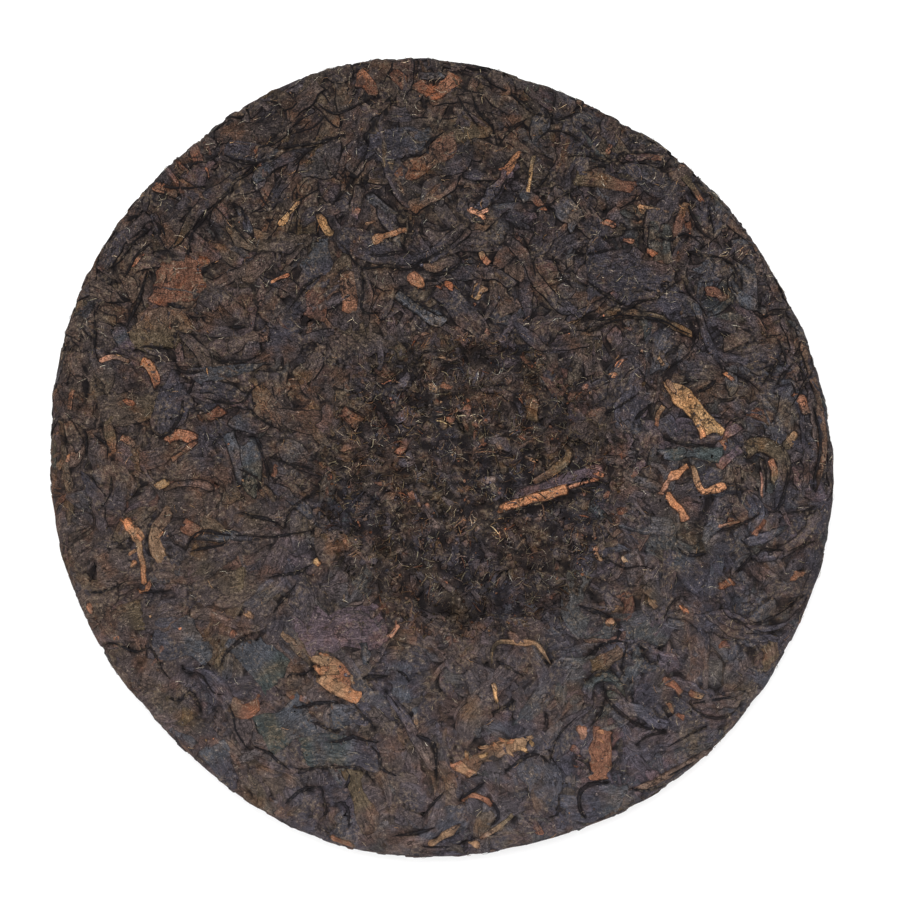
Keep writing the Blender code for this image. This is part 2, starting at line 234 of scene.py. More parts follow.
# %% [markdown]
# A leaf bed remembers how high the leaves lie so far, on a grid of small squares. A new leaf asks it what
# it lies on and is then added to it. It follows the mean height of what lies around it, as a stiff leaf in
# a pressed pile does, so it sinks in between the high spots and the leaves end up let into each other.

# %% The bed that the leaves are laid on
SQUARE = 0.5
WAVES_SUMMED = 7
COARSE_BUMPS, FINE_BUMPS = (2.4, 0.22), (1.1, 0.16)  # how wide and how high the bare bed's bumps are


def waves(size, draw):
    """A field of rounded random bumps about `size` across, from about -1 to 1."""
    turns, phases = draw.uniform(0, math.tau, (2, WAVES_SUMMED))
    pitches = size * draw.uniform(1.2, 2.6, WAVES_SUMMED)

    def field(x, y):
        total = 0
        for turn, phase, pitch in zip(turns, phases, pitches):
            total = total + np.sin((x * math.cos(turn) + y * math.sin(turn)) * math.tau / pitch + phase)
        return total / 3.2

    return field


class Bed:
    """How high the leaves lie over one flattened face, in millimetres above the smooth form."""

    def __init__(self, face, reach, draw):
        self.face, self.reach, self.leaves = face, reach, []
        line = np.linspace(-reach, reach, int(2 * reach / SQUARE) + 1)
        self.x, self.y = np.meshgrid(line, line)
        self.bare = sum(waves(size, draw)(self.x, self.y) * high for size, high in (COARSE_BUMPS, FINE_BUMPS))
        self.height = self.bare.copy()
        self.owner = np.full(self.height.shape, -1)

    def grid_place(self, x, y):
        """The column and row of a point, in squares and parts of a square."""
        most = len(self.height) - 1.001
        return np.clip((x + self.reach) / SQUARE, 0, most), np.clip((y + self.reach) / SQUARE, 0, most)

    def at(self, x, y, heights=None):
        """The height straight below a point, read between the squares."""
        heights = self.height if heights is None else heights
        column, row = self.grid_place(x, y)
        left, low = column.astype(int), row.astype(int)
        right_share, up_share = column - left, row - low
        lower = heights[low, left] * (1 - right_share) + heights[low, left + 1] * right_share
        upper = heights[low + 1, left] * (1 - right_share) + heights[low + 1, left + 1] * right_share
        return lower * (1 - up_share) + upper * up_share

    def around(self, x, y, radius):
        """The mean height within about `radius` of a point."""
        total, count = self.at(x, y), 1
        for reach, spokes in ((radius / 2, 5), (radius, 9)):
            for turn in np.arange(spokes) * math.tau / spokes:
                total = total + self.at(x + reach * math.cos(turn), y + reach * math.sin(turn))
                count += 1
        return total / count

    def lay(self, leaf, x, y, top):
        """Adds a leaf, and marks the squares where its top is now the highest."""
        column, row = self.grid_place(x, y)
        squares = np.rint(row).astype(int), np.rint(column).astype(int)
        covered = top > self.height[squares]
        np.maximum.at(self.height, squares, top)
        self.owner[squares[0][covered], squares[1][covered]] = len(self.leaves)
        self.leaves.append(leaf)

    def smoothed(self, heights, radius):
        """The heights averaged over a square window, three times, which is close to a soft round one."""
        reach = max(int(radius / SQUARE / 2), 1)
        window = 2 * reach + 1
        for axis in (0, 1) * 3:
            padding = [(reach + 1, reach) if side == axis else (0, 0) for side in (0, 1)]
            total = np.cumsum(np.pad(heights, padding, mode="edge"), axis=axis)
            count = len(heights)
            after = np.take(total, range(window, window + count), axis)
            heights = (after - np.take(total, range(count), axis)) / window
        return heights


SEED = 357
draw = np.random.default_rng(SEED)
OVERHANG = 14.0  # how far past the rim's widest line a bed goes on
DOME_REACH = WHOLE_WALK - RIM_WALK
knot_bed = Bed(KNOT_FACE, RIM_WALK + OVERHANG, draw)
dome_bed = Bed(DOME_FACE, DOME_REACH + OVERHANG, draw)
print(f"The knot face's bed has {knot_bed.height.size:,} squares")

# %% [markdown]
# Dry pu erh is never one brown. These are the tones that the photograph shows in plain light: nearly black
# and slate leaves with a cool bloom, olive, umber and plum ones, and the few russet, tan and golden pieces
# that catch the eye. A leaf drifts from one tone to another along its length.
#
# Pressing and dust also colour a place, whichever leaf lies there. Where the pile is pressed into one smooth
# mass, towards the lower left, that colour hides most of the joints between leaves.

# %% Tones of dry leaf
TONES = {
    "soot": (52, 46, 48),
    "coal": (63, 57, 60),
    "slate": (70, 69, 70),
    "teal": (61, 65, 60),
    "ash": (84, 80, 79),
    "earth": (70, 58, 54),
    "umber": (82, 66, 57),
    "bark": (98, 74, 58),
    "olive": (86, 70, 50),
    "plum": (84, 68, 69),
    "russet": (112, 73, 54),
    "rust": (142, 93, 66),
    "orange": (178, 118, 78),
    "tan": (148, 112, 80),
    "gold": (176, 132, 86),
    "flesh": (174, 124, 96),
    "hair": (178, 162, 136),
    "straw": (150, 134, 104),
}
TONE_LEVEL = 0.81
TONE_BALANCE = np.array((1.0, 1.03, 1.15))


def linear(tone):
    """A tone given in screen values, as the light that it reflects."""
    screen = np.array(tone) * TONE_LEVEL / 255
    return np.where(screen < 0.04045, screen / 12.92, ((screen + 0.055) / 1.055) ** 2.4) * TONE_BALANCE


LINEAR = {name: linear(tone) for name, tone in TONES.items()}
tone_draw = np.random.default_rng(SEED + 1)
warm_places, olive_places, pale_places = (waves(size, tone_draw) for size in (17, 8, 5))


def looseness(x, y):
    """1 where the leaves of the knot face lie loose, nearly 0 where they are pressed into one mass."""
    return np.clip(0.62 + 0.005 * y + 0.001 * x, 0.12, 1)


def painted_light_by_place(x, y):
    """Painted light: the knot face is made paler towards its lower part, a little cooler towards its lower
    right, and darker towards its top.
    """
    cooler = 1 + np.maximum(0.5 * x - y, 0)[..., None] * np.array((0, 0.0003, 0.0006))
    return 1.03 * np.exp(0.0009 * x - 0.0044 * y)[..., None] * cooler


def place_tone(x, y):
    """The colour that pressing and dust give a place."""
    warmth = smooth_step(0.5 + 0.4 * warm_places(x, y) - 0.0035 * x + 0.0015 * y)[..., None]
    olive = smooth_step(0.55 * olive_places(x, y) - 0.05)[..., None]
    pale = (1 + 0.16 * pale_places(x, y))[..., None]
    tone = LINEAR["coal"] * (1 - warmth) + LINEAR["umber"] * warmth
    return (tone * (1 - olive) + LINEAR["olive"] * olive) * pale


# %% [markdown]
# A leaf is a strip of cross sections along a curved route. Its section says what kind of leaf it is: flat,
# cupped with raised edges, folded over along one side, rolled into a rope, or twisted. Both sides wander,
# so no two outlines agree, and an end is pointed, round, or torn off at a slant.

# %% Routes, outlines and sections of a leaf
SHOULDER = 0.9  # how far in from its edge a leaf reaches its full height


def wander(count, bumps, draw):
    """`count` values that drift smoothly, with about `bumps` rises and falls."""
    knots = draw.normal(size=int(bumps) + 4)
    place = np.linspace(1, int(bumps) + 2, count)
    before = np.minimum(place.astype(int), len(knots) - 2)
    share = smooth_step(place - before)
    return knots[before] * (1 - share) + knots[before + 1] * share


def curved_route(x, y, length, heading, bend, sway, draw):
    """A route of 21 points through (x, y) that bends evenly and sways."""
    share = np.linspace(-0.5, 0.5, 21)
    phase = draw.random()
    turn = heading + bend * share + sway * np.sin(math.tau * (share * draw.uniform(0.6, 1.5) + phase))
    route = np.cumsum(np.stack([np.cos(turn), np.sin(turn)], axis=-1), axis=0) * length / 20
    return route - route[10] + (x, y)


def route_through(points):
    """A smooth route through a few points."""
    points = np.array(points, float)
    if len(points) == 2:
        return np.linspace(points[0], points[1], 9)
    ends = np.concatenate([[2 * points[0] - points[1]], points, [2 * points[-1] - points[-2]]])
    route = []
    for before, start, end, after in zip(ends, ends[1:], ends[2:], ends[3:]):
        for share in np.linspace(0, 1, 12, endpoint=False):
            lead = 2 * start + (end - before) * share
            curve = (2 * before - 5 * start + 4 * end - after) * share**2
            route.append((lead + curve + (3 * start - before - 3 * end + after) * share**3) / 2)
    return np.array([*route, points[-1]])


def stops_across(half):
    """Where a section has points, from -1 to 1: close together at the edges and about 1 mm apart within."""
    outer, inner = min(0.35 / half, 0.2), min(SHOULDER / half, 0.45)
    middle = np.linspace(inner - 1, 1 - inner, max(2, int(2 * (half - SHOULDER) / 1.1) + 1))
    return np.concatenate([[-1, outer - 1], middle, [1 - outer, 1]])


def section_height(section, across, walked, width, lean, phase):
    """How the top of a leaf stands along its section, from 0 to about 1."""
    if section == "rolled":
        return np.sqrt(np.clip(1 - across**2, 0, 1)) * (1 + 0.06 * np.sin(walked * 1.3 + phase))
    if section == "twisted":
        ridge = np.cos(math.tau * (walked / (2.1 * width) + 0.5 * across) + phase)
        return np.sqrt(np.clip(1 - across**2, 0, 1)) * (0.8 + 0.26 * ridge)
    folds = 0.24 * np.sin(across * width * 1.25 + phase + 0.9 * np.sin(walked * 0.33 + phase))
    if section == "cupped":
        return 0.42 + 0.62 * across**2 + folds
    if section == "folded":
        line = across * np.sign(lean) + 0.3 * np.sin(walked * 0.2 + phase)
        return 0.42 + 0.6 * smooth_step((line + 0.12) / 0.24) + folds
    return 0.85 + 0.2 * lean * across + folds


def torn_ends(stops, walked, length, width, ends, draw):
    """How far points shift along the leaf, so that a torn end runs at a slant and is jagged."""
    shift = 0.0
    for from_end, way, end in ((walked, 1, ends[0]), (length - walked, -1, ends[1])):
        near = smooth_step(1 - from_end / (0.9 * width))[:, None]
        if end == "torn":
            slant, jags = draw.uniform(-0.6, 0.6) * stops * width / 2, draw.normal(size=len(stops)) * 0.28
            shift = shift + near * (slant + jags)
    return shift


END_SHAPES = {"torn": (0.05, 0.45), "round": (0.2, 0.6), "pointed": (0.55, 0.85)}


def fullness(along, ends, length, width):
    """Half width along a leaf as a share of its fullest: each kind of end has a reach and a bluntness."""
    full = 1.0
    for share, end in ((along, ends[0]), (1 - along, ends[1])):
        reach, bluntness = END_SHAPES[end]
        reach = min(0.5, reach * max(1, width / length)) if end != "pointed" else reach
        rise = np.clip(share / reach, 0, 1)
        full = full * (rise * (2 - rise)) ** bluntness
    return full


# %% [markdown]
# Laying one leaf: take the mean height of the pile under it, add the leaf's section, and tuck its edges
# in. The leaf is a closed body with an underside, because some edges stand up and show from the side.
#
# Every point also gets its colour, its grain, which is how far along and across the leaf it lies, and how
# near the edge it is, which the finish turns into painted shade in the crevice.

# %% Laying one leaf
TUCK = 0.22
CREVICE_WIDTH = 0.9
UNDER_STOPS = np.array([0.5, -0.5])


class Leaf:
    """One laid leaf: rings of points round its length, with the colour, grain and edge of each."""

    def __init__(self, section, x, y, height, grain, colour, edge):
        self.section, self.x, self.y, self.height = section, x, y, height
        self.grain, self.colour, self.edge = grain, colour, edge


def denser(grid, rows, columns):
    """The same grid of values with more rows and columns, read along straight lines."""
    for axis, count in ((0, rows), (1, columns)):
        place = np.linspace(0, grid.shape[axis] - 1, count)
        before = np.minimum(place.astype(int), grid.shape[axis] - 2)
        share = (place - before).reshape((-1, 1) if axis == 0 else (1, -1))
        grid = np.take(grid, before, axis) * (1 - share) + np.take(grid, before + 1, axis) * share
    return grid


def eased(grid):
    """Heights averaged with their neighbours along and across the leaf."""
    wide = np.pad(grid, 1, mode="edge")
    return (wide[:-2, 1:-1] + wide[2:, 1:-1] + wide[1:-1, :-2] + wide[1:-1, 2:] + 2 * grid) / 6


def under(grid, stops):
    """The values of a leaf's top, read at the stops of its underside."""
    return np.stack([np.interp(UNDER_STOPS, stops, row) for row in grid])


def lay_leaf(bed, section, route, width, tones, draw, thickness=0.5, proud=0.1, crevice=0.7, ends=None,
             ragged=0.18, light=1.0, blend=0.3, gap=1.05, stiff=2.2, cover=None):
    """Adds one leaf to the bed."""
    steps = np.hypot(*np.diff(route, axis=0).T)
    route_walk = np.concatenate([[0], np.cumsum(steps)])
    length = route_walk[-1]
    stations = int(np.clip(length / gap, 4, 60)) + 2
    even = np.linspace(0, 1, stations)
    along = 0.65 * even + 0.35 * (0.5 - 0.5 * np.cos(np.pi * even))
    x, y = (np.interp(along * length, route_walk, route[:, axis]) for axis in (0, 1))
    heading = np.unwrap(np.arctan2(np.gradient(y), np.gradient(x)))[:, None]
    ends = ends or [str(draw.choice(("torn", "round", "pointed"), p=(0.55, 0.12, 0.33))) for _ in range(2)]
    full = fullness(along, ends, length, width)
    bumps = max(2, length / draw.uniform(1.6, 4.5))
    left, right = (np.clip(1 + ragged * wander(stations, bumps, draw), 0.4, 1.6)[:, None] for _ in range(2))
    stops = stops_across(width / 2)
    half = width / 2 * full[:, None] * np.where(stops > 0, left, right)
    shift = torn_ends(stops, along * length, length, width, ends, draw)
    gx = x[:, None] - np.sin(heading) * stops * half + np.cos(heading) * shift
    gy = y[:, None] + np.cos(heading) * stops * half + np.sin(heading) * shift

    from_edge = (1 - np.abs(stops)) * half
    from_end = np.minimum(along, 1 - along)[:, None] * length
    from_edge = np.minimum(from_edge, from_end)
    shoulder = 1 - (1 - np.clip(from_edge / SHOULDER, 0, 1)) ** 2.2
    lean, phase = draw.uniform(-1, 1), draw.uniform(0, math.tau)
    rise = section_height(section, stops[None, :], along[:, None] * length, width, lean, phase)
    if section not in ("rolled", "twisted"):
        rise = rise * shoulder
    below = bed.at(gx, gy)
    top = eased(eased(bed.around(gx, gy, stiff))) + thickness * (rise - 0.6) + proud
    if cover is not None:
        top = np.maximum(top, eased(below) + cover)
    for border in (np.s_[:, 0], np.s_[:, -1], np.s_[0, :], np.s_[-1, :]):
        top[border] = np.minimum(top[border], below[border]) - TUCK

    every = [np.hstack([grid, under(grid, stops)]) for grid in (gx, gy)]
    height = np.hstack([top, under(top, stops) - thickness * 0.8 - 0.25])
    all_stops = np.concatenate([stops, UNDER_STOPS])
    grain = np.zeros((*height.shape, 3)) + draw.uniform(0, 500, 3)
    grain[..., 0] += along[:, None] * length
    grain[..., 1] += all_stops * width / 2

    drift = smooth_step(0.5 + 1.3 * (along - 0.5) + 0.3 * wander(stations, 3, draw))[:, None, None]
    first, second = (LINEAR[tone] for tone in tones)
    own = (first * (1 - drift) + second * drift) * light * draw.uniform(0.85, 1.15)
    colour = own * (1 - blend) + place_tone(*every) * blend
    # Painted light: the knot face is paler towards the bottom and darker towards the top, less so on bright
    # leaves.
    if bed.face == KNOT_FACE:
        colour = colour * painted_light_by_place(*every) ** (1 - 0.6 * np.clip(own.mean() / 0.1, 0, 1))
    # painted shade: a band this wide inside the outline, and the whole underside, are marked for darkening
    dark_width = min(CREVICE_WIDTH, 0.3 * width)
    edge = np.hstack([np.clip(1 - from_edge / dark_width, 0, 1) * crevice, 0 * height[:, -2:] + 1])

    leaf = Leaf(section, *every, height, grain, colour, edge)
    finer = int(np.ceil(length / 0.35)) + 2, int(np.ceil(width / 0.35)) + 2
    bed.lay(leaf, denser(gx, *finer), denser(gy, *finer), denser(top, *finer))
    return leaf


# %% [markdown]
# Where leaves are laid matters as much as how. Places are spread evenly with some jitter, so that the whole
# face is covered, and taken in random order, so that no side always lies on top. The cake in the photograph
# has broader, smoother leaves towards its lower left, and narrow loose ones towards its top.

# %% Laying whole layers
WARM_MIX = {"soot": 12, "coal": 22, "earth": 20, "umber": 18, "olive": 10, "bark": 8, "plum": 5, "russet": 2}
COOL_MIX = {"soot": 16, "coal": 30, "slate": 18, "teal": 9, "ash": 8, "plum": 7, "umber": 8, "olive": 3}
BRIGHT_MIX = {"rust": 4, "orange": 1, "tan": 2, "gold": 1, "russet": 6, "bark": 3}
BROAD_SECTIONS = {"flat": 6, "cupped": 3, "folded": 3, "rolled": 0.6, "twisted": 0.6}
MIXED_SECTIONS = {"flat": 4, "cupped": 3, "folded": 3, "rolled": 1, "twisted": 1.5}
SLIM_SECTIONS = {"flat": 3, "cupped": 1, "folded": 2, "rolled": 2, "twisted": 2}


def pick(mix, draw):
    """A name drawn from a mix by its weight."""
    weights = np.array(list(mix.values()), float)
    return str(draw.choice(list(mix), p=weights / weights.sum()))


def spread_places(spacing, reach, draw):
    """Places about `spacing` apart all over a face, in random order."""
    line = np.arange(-reach, reach + spacing, spacing)
    x, y = (grid.ravel() + draw.uniform(-0.5, 0.5, grid.size) * spacing for grid in np.meshgrid(line, line))
    order = draw.permutation(np.flatnonzero(np.hypot(x, y) < reach))
    return zip(x[order], y[order])


def in_dimple(x, y):
    """True where only broken leaf lies: within the dimple, but for the top of its wall."""
    return from_dimple(x, y) < DIMPLE_RADIUS - 3


def lay_layer(bed, spacing, reach, lengths, widths, sections, draw, bright_share=0.006, gap=1.05):
    """A layer of leaves all over a face. Where the pile lies loose they are narrower, thicker and prouder."""
    for x, y in spread_places(spacing, reach, draw):
        on_knot_face = bed.face == KNOT_FACE
        if on_knot_face and in_dimple(x, y):
            continue
        loose = looseness(x, y) if on_knot_face else 0.5
        length = draw.uniform(*lengths) * draw.uniform(0.6, 1.2)
        width = min(draw.uniform(*widths) * (1.35 - 0.4 * loose), length * 0.7)
        flow = 1.6 * math.sin(x / 31 + 1.0) + 1.3 * math.sin(y / 27 - 0.6) + draw.normal() * 0.8
        route = curved_route(x, y, length, flow, draw.normal() * 0.6, draw.uniform(0, 0.4), draw)
        section = pick(sections, draw)
        slim = section in ("rolled", "twisted")
        mix = COOL_MIX if draw.random() < 0.5 + 0.0045 * x - 0.003 * y else WARM_MIX
        bright = draw.random() < bright_share
        tones = pick(BRIGHT_MIX if bright else mix, draw), pick(mix, draw)
        lay_leaf(
            bed, section, route, width * (0.55 if slim else 1), tones, draw,
            thickness=(0.3 + 0.95 * loose) * draw.uniform(0.7, 1.4) * (1.3 if slim else 1),
            proud=draw.uniform(0.05, 0.5) * loose + 0.06,
            crevice=(0.35 + 0.85 * loose) * draw.uniform(0.6, 1.2),
            blend=0.15 if bright else 0.72 - 0.35 * loose,
            ragged=0.16,
            gap=gap,
        )


def lay_rim(bed, walk, count, draw, gap=1.05):
    """Long leaves that run round the rim, as the bag's cloth draws them."""
    for turn in draw.permutation(np.arange(count)) * math.tau / count + draw.uniform(0, 0.1, count):
        length, offset = draw.uniform(14, 34), draw.normal() * 3.5
        share = np.linspace(-0.5, 0.5, 15)
        angle = turn + share * length / walk
        radius = walk + offset + share * draw.normal() * 5
        route = np.stack([radius * np.cos(angle), radius * np.sin(angle)], axis=-1)
        tones = pick(WARM_MIX, draw), pick(COOL_MIX, draw)
        section = pick(BROAD_SECTIONS, draw)
        lay_leaf(bed, section, route, draw.uniform(3, 8), tones, draw, thickness=0.4, proud=0.05, gap=gap)


lay_layer(dome_bed, 9.0, DOME_REACH + 6, (14, 30), (6, 11), BROAD_SECTIONS, draw, gap=2.4)
lay_layer(dome_bed, 9.5, DOME_REACH + 4, (10, 22), (3.5, 8), MIXED_SECTIONS, draw, gap=2.2)
lay_layer(dome_bed, 12.0, DOME_REACH + 2, (5, 13), (2, 4), SLIM_SECTIONS, draw, 0.1, gap=1.8)
lay_rim(dome_bed, DOME_REACH - 2, 46, draw, gap=1.9)
print("Leaves laid on the domed face:", len(dome_bed.leaves))

# %% [markdown]
# The knot face's pile starts at the rim from what the domed face's pile left there, so that the two meet
# without a step. Its own layers follow: broad leaves first, then those round the rim, then finer ones.

# %% The layers of the knot face
past_rim = np.hypot(knot_bed.x, knot_bed.y)
same_place = (WHOLE_WALK - past_rim) / np.maximum(past_rim, 1)
from_dome = dome_bed.at(knot_bed.x * same_place, knot_bed.y * same_place)
at_rim = past_rim > RIM_WALK - OVERHANG
knot_bed.height[at_rim] = from_dome[at_rim]

lay_layer(knot_bed, 6.8, RIM_WALK + 3, (12, 27), (4.5, 10), BROAD_SECTIONS, draw)
lay_rim(knot_bed, RIM_WALK - 3, 60, draw)
lay_layer(knot_bed, 9.0, RIM_WALK, (4, 12), (1.6, 4), SLIM_SECTIONS, draw, 0.1)
lay_layer(knot_bed, 8.0, RIM_WALK + 1, (9, 22), (3.5, 8), MIXED_SECTIONS, draw)
print("Leaves laid on the knot face:", len(knot_bed.leaves))

# %% [markdown]
# The leaves, stems and flakes that stand out in the photograph are laid last, each by the pixels that its
# middle line runs through, written as x, y, x, y. Then come its width in pixels, its kind, its tone at each
# end, and how proud it stands. One table for each part of the cake keeps them easy to find again.
#
# In the upper left two broad brown leaves lie flat, with a golden sliver and a tan boat-shaped piece by them.

# %% Leaves in the upper left
SEEN = {}
SEEN["upper left"] = (
    ((168, 304, 154, 350), 50, "flat", "bark", "olive", 0.1),
    ((115, 325, 122, 338, 131, 350), 14, "flat", "slate", "plum", 0.2),
    ((254, 163, 224, 186, 197, 211, 180, 240, 168, 250), 17, "folded", "coal", "olive", 0.45),
    ((222, 149, 250, 151, 280, 159), 18, "cupped", "coal", "slate", 0.3),
    ((318, 145, 282, 160, 250, 183), 12, "rolled", "coal", "slate", 0.4),
    ((300, 150, 284, 180, 265, 210), 12, "folded", "earth", "coal", 0.25),
    ((277, 227, 291, 212, 304, 197), 7, "rolled", "gold", "tan", 0.5),
    ((315, 210, 323, 222, 332, 236), 13, "cupped", "tan", "gold", 0.45),
    ((356, 205, 355, 221), 9, "flat", "rust", "plum", 0.3),
    ((364, 224, 377, 221), 4, "flat", "tan", "bark", 0.3),
    ((269, 283, 290, 274), 4, "rolled", "orange", "rust", 0.5),
    ((151, 185, 165, 189, 179, 195), 10, "flat", "rust", "bark", 0.3),
    ((206, 165, 208, 179), 5, "flat", "rust", "russet", 0.4),
    ((131, 267, 139, 258, 145, 252), 6, "flat", "rust", "russet", 0.4),
    ((152, 211, 161, 236), 8, "rolled", "coal", "soot", 0.4),
    ((100, 270, 122, 240, 150, 215), 14, "flat", "coal", "earth", 0.25),
    ((236, 205, 246, 222, 254, 240), 10, "folded", "slate", "coal", 0.35),
    ((232, 232, 244, 214), 9, "folded", "olive", "earth", 0.3),
    ((184, 258, 172, 304), 50, "flat", "russet", "russet", 0.25),
    ((262, 300, 300, 330), 30, "flat", "earth", "coal", 0.1),
    ((312, 250, 318, 290), 34, "flat", "slate", "coal", 0.12),
)
print("Leaves read so far:", sum(map(len, SEEN.values())))

# %% [markdown]
# Rust and russet leaves show at the rim. Lower down lies a short dark stem whose two ends are splintered
# pale, with a thin golden one beside it.

# %% Leaves at the top
SEEN["top"] = (
    ((357, 72, 366, 82, 374, 96), 15, "flat", "rust", "russet", 0.3),
    ((414, 82, 434, 92, 447, 86, 457, 73), 17, "flat", "russet", "rust", 0.2),
    ((416, 74, 430, 76, 444, 74), 10, "flat", "coal", "slate", 0.35),
    ((392, 70, 408, 84), 14, "flat", "russet", "bark", 0.1),
    ((404, 179, 424, 160, 456, 140), 21, "flat", "russet", "bark", 0.2),
    ((370, 150, 400, 143, 432, 140), 30, "flat", "coal", "slate", 0.1),
    ((518, 160, 497, 187, 476, 212), 14, "rolled", "plum", "coal", 1.0),
    ((505, 172, 513, 163, 521, 155), 9, "flat", "rust", "orange", 1.3),
    ((497, 171, 506, 168, 515, 163), 3, "flat", "rust", "orange", 0.9),
    ((506, 176, 510, 170, 515, 164), 3, "flat", "rust", "orange", 0.9),
    ((468, 208, 474, 212, 480, 215), 6, "flat", "flesh", "orange", 0.9),
    ((476, 216, 482, 212, 489, 209), 7, "flat", "flesh", "flesh", 1.3),
    ((479, 214, 483, 217, 485, 220), 5, "flat", "orange", "rust", 0.9),
    ((527, 194, 534, 154), 4, "rolled", "gold", "olive", 0.4),
    ((337, 233, 360, 244, 390, 254, 423, 262), 28, "cupped", "coal", "soot", 0.6),
    ((423, 261, 446, 247, 468, 226), 16, "folded", "coal", "earth", 0.5),
    ((371, 241, 384, 237, 396, 233, 407, 229), 8, "flat", "tan", "orange", 0.75),
    ((423, 269, 442, 264, 461, 260), 12, "rolled", "bark", "earth", 0.35),
    ((409, 272, 417, 281, 425, 291), 14, "cupped", "rust", "orange", 0.5),
    ((436, 289, 444, 283, 454, 289), 10, "flat", "russet", "rust", 0.4),
    ((395, 293, 420, 309, 446, 324), 14, "rolled", "slate", "slate", 0.6),
    ((473, 300, 478, 290, 486, 286), 12, "cupped", "gold", "bark", 0.45),
    ((479, 250, 484, 258, 492, 264), 8, "flat", "tan", "rust", 0.4),
    ((521, 256, 526, 260, 528, 268), 9, "flat", "orange", "rust", 0.4),
    ((346, 270, 349, 292, 350, 314), 15, "flat", "bark", "rust", 0.25),
    ((505, 236, 522, 256, 537, 281, 556, 302, 578, 315), 14, "folded", "earth", "coal", 0.7),
)
print("Leaves read so far:", sum(map(len, SEEN.values())))

# %% [markdown]
# The broadest dark leaf of the upper face lies flat here. A long twisted leaf crosses below it, and folded
# leaves follow the rim.

# %% Leaves in the upper right
SEEN["upper right"] = (
    ((586, 272, 632, 280, 680, 290), 56, "flat", "coal", "coal", 0.35),
    ((584, 332, 600, 319, 621, 311, 660, 318, 694, 336), 11, "twisted", "coal", "olive", 0.6),
    ((565, 322, 590, 308, 614, 290), 10, "folded", "coal", "soot", 0.35),
    ((694, 300, 703, 330, 723, 371), 12, "rolled", "slate", "coal", 0.45),
    ((782, 318, 790, 338, 794, 354), 8, "rolled", "earth", "coal", 0.4),
    ((804, 342, 816, 382, 823, 425, 822, 460, 817, 492), 14, "cupped", "bark", "bark", 0.45),
    ((800, 365, 812, 400, 816, 440), 10, "folded", "coal", "umber", 0.35),
    ((790, 380, 800, 410, 806, 450, 806, 490), 9, "folded", "coal", "earth", 0.3),
    ((681, 174, 694, 188, 703, 203), 10, "flat", "olive", "rust", 0.3),
    ((574, 178, 604, 182, 635, 188), 15, "flat", "olive", "russet", 0.3),
    ((606, 155, 611, 144), 6, "flat", "rust", "russet", 0.4),
    ((624, 156, 645, 157, 664, 159), 9, "flat", "plum", "russet", 0.35),
    ((646, 250, 656, 256), 9, "flat", "russet", "rust", 0.25),
    ((705, 290, 718, 292, 728, 300), 12, "flat", "russet", "bark", 0.2),
    ((610, 291, 620, 299), 7, "flat", "flesh", "plum", 0.4),
    ((722, 215, 742, 232, 760, 252), 12, "flat", "umber", "bark", 0.2),
    ((602, 220, 616, 227), 8, "flat", "rust", "russet", 0.3),
    ((620, 240, 636, 241), 7, "flat", "russet", "rust", 0.3),
    ((735, 271, 732, 284, 745, 300, 767, 313), 14, "folded", "coal", "slate", 0.5),
    ((700, 262, 716, 282), 22, "flat", "slate", "coal", 0.2),
)
print("Leaves read so far:", sum(map(len, SEEN.values())))

# %% [markdown]
# A tan leaf torn at one end, a bent orange stem and a slate one stand out, and long leaves follow the rim.

# %% Leaves on the right
SEEN["right"] = (
    ((662, 381, 680, 395, 699, 416, 717, 434), 23, "cupped", "tan", "gold", 0.5, ("pointed", "torn")),
    ((690, 412, 699, 426, 704, 440), 8, "flat", "gold", "orange", 0.7, ("pointed", "torn")),
    ((666, 379, 676, 393), 5, "folded", "bark", "tan", 0.7),
    ((664, 404, 658, 416, 657, 428), 5, "flat", "tan", "rust", 0.4),
    ((657, 356, 664, 367), 6, "flat", "tan", "bark", 0.4),
    ((609, 376, 617, 373), 6, "flat", "orange", "rust", 0.4),
    ((615, 368, 622, 361, 631, 358), 5, "flat", "rust", "flesh", 0.4),
    ((723, 372, 735, 381), 7, "flat", "orange", "rust", 0.4),
    ((723, 353, 734, 340, 746, 329), 16, "folded", "bark", "umber", 0.35),
    ((722, 448, 727, 435, 738, 423), 12, "flat", "rust", "plum", 0.35),
    ((717, 469, 728, 458, 741, 448), 10, "flat", "russet", "plum", 0.35),
    ((751, 410, 773, 420), 16, "flat", "russet", "bark", 0.2),
    ((659, 496, 672, 478, 689, 464), 8, "cupped", "flesh", "orange", 0.6),
    ((666, 493, 676, 506, 687, 521), 10, "flat", "orange", "rust", 0.55),
    ((692, 464, 696, 480, 703, 492, 714, 490, 727, 484), 8, "folded", "tan", "orange", 0.6),
    ((628, 478, 637, 468, 647, 461), 11, "flat", "rust", "plum", 0.3),
    ((744, 450, 766, 446, 782, 458, 782, 485, 776, 512), 19, "folded", "olive", "coal", 0.55),
    ((769, 458, 773, 470, 775, 483), 9, "flat", "rust", "olive", 0.6),
    ((761, 470, 762, 484, 762, 497), 4, "flat", "plum", "flesh", 0.4),
    ((660, 455, 690, 452, 723, 457), 18, "rolled", "slate", "teal", 0.4),
    ((782, 448, 798, 432), 10, "folded", "olive", "tan", 0.3),
    ((796, 392, 802, 402, 808, 416), 12, "flat", "rust", "bark", 0.3),
    ((753, 537, 766, 518), 9, "flat", "russet", "rust", 0.35),
    ((717, 527, 741, 521), 4, "rolled", "flesh", "bark", 0.4),
    ((752, 560, 775, 555, 800, 540, 820, 510), 12, "rolled", "coal", "earth", 0.4),
    ((740, 545, 760, 540, 790, 525), 12, "folded", "coal", "slate", 0.35),
)
print("Leaves read so far:", sum(map(len, SEEN.values())))

# %% [markdown]
# Narrow dark leaves lie every way between a few rust and tan scraps.

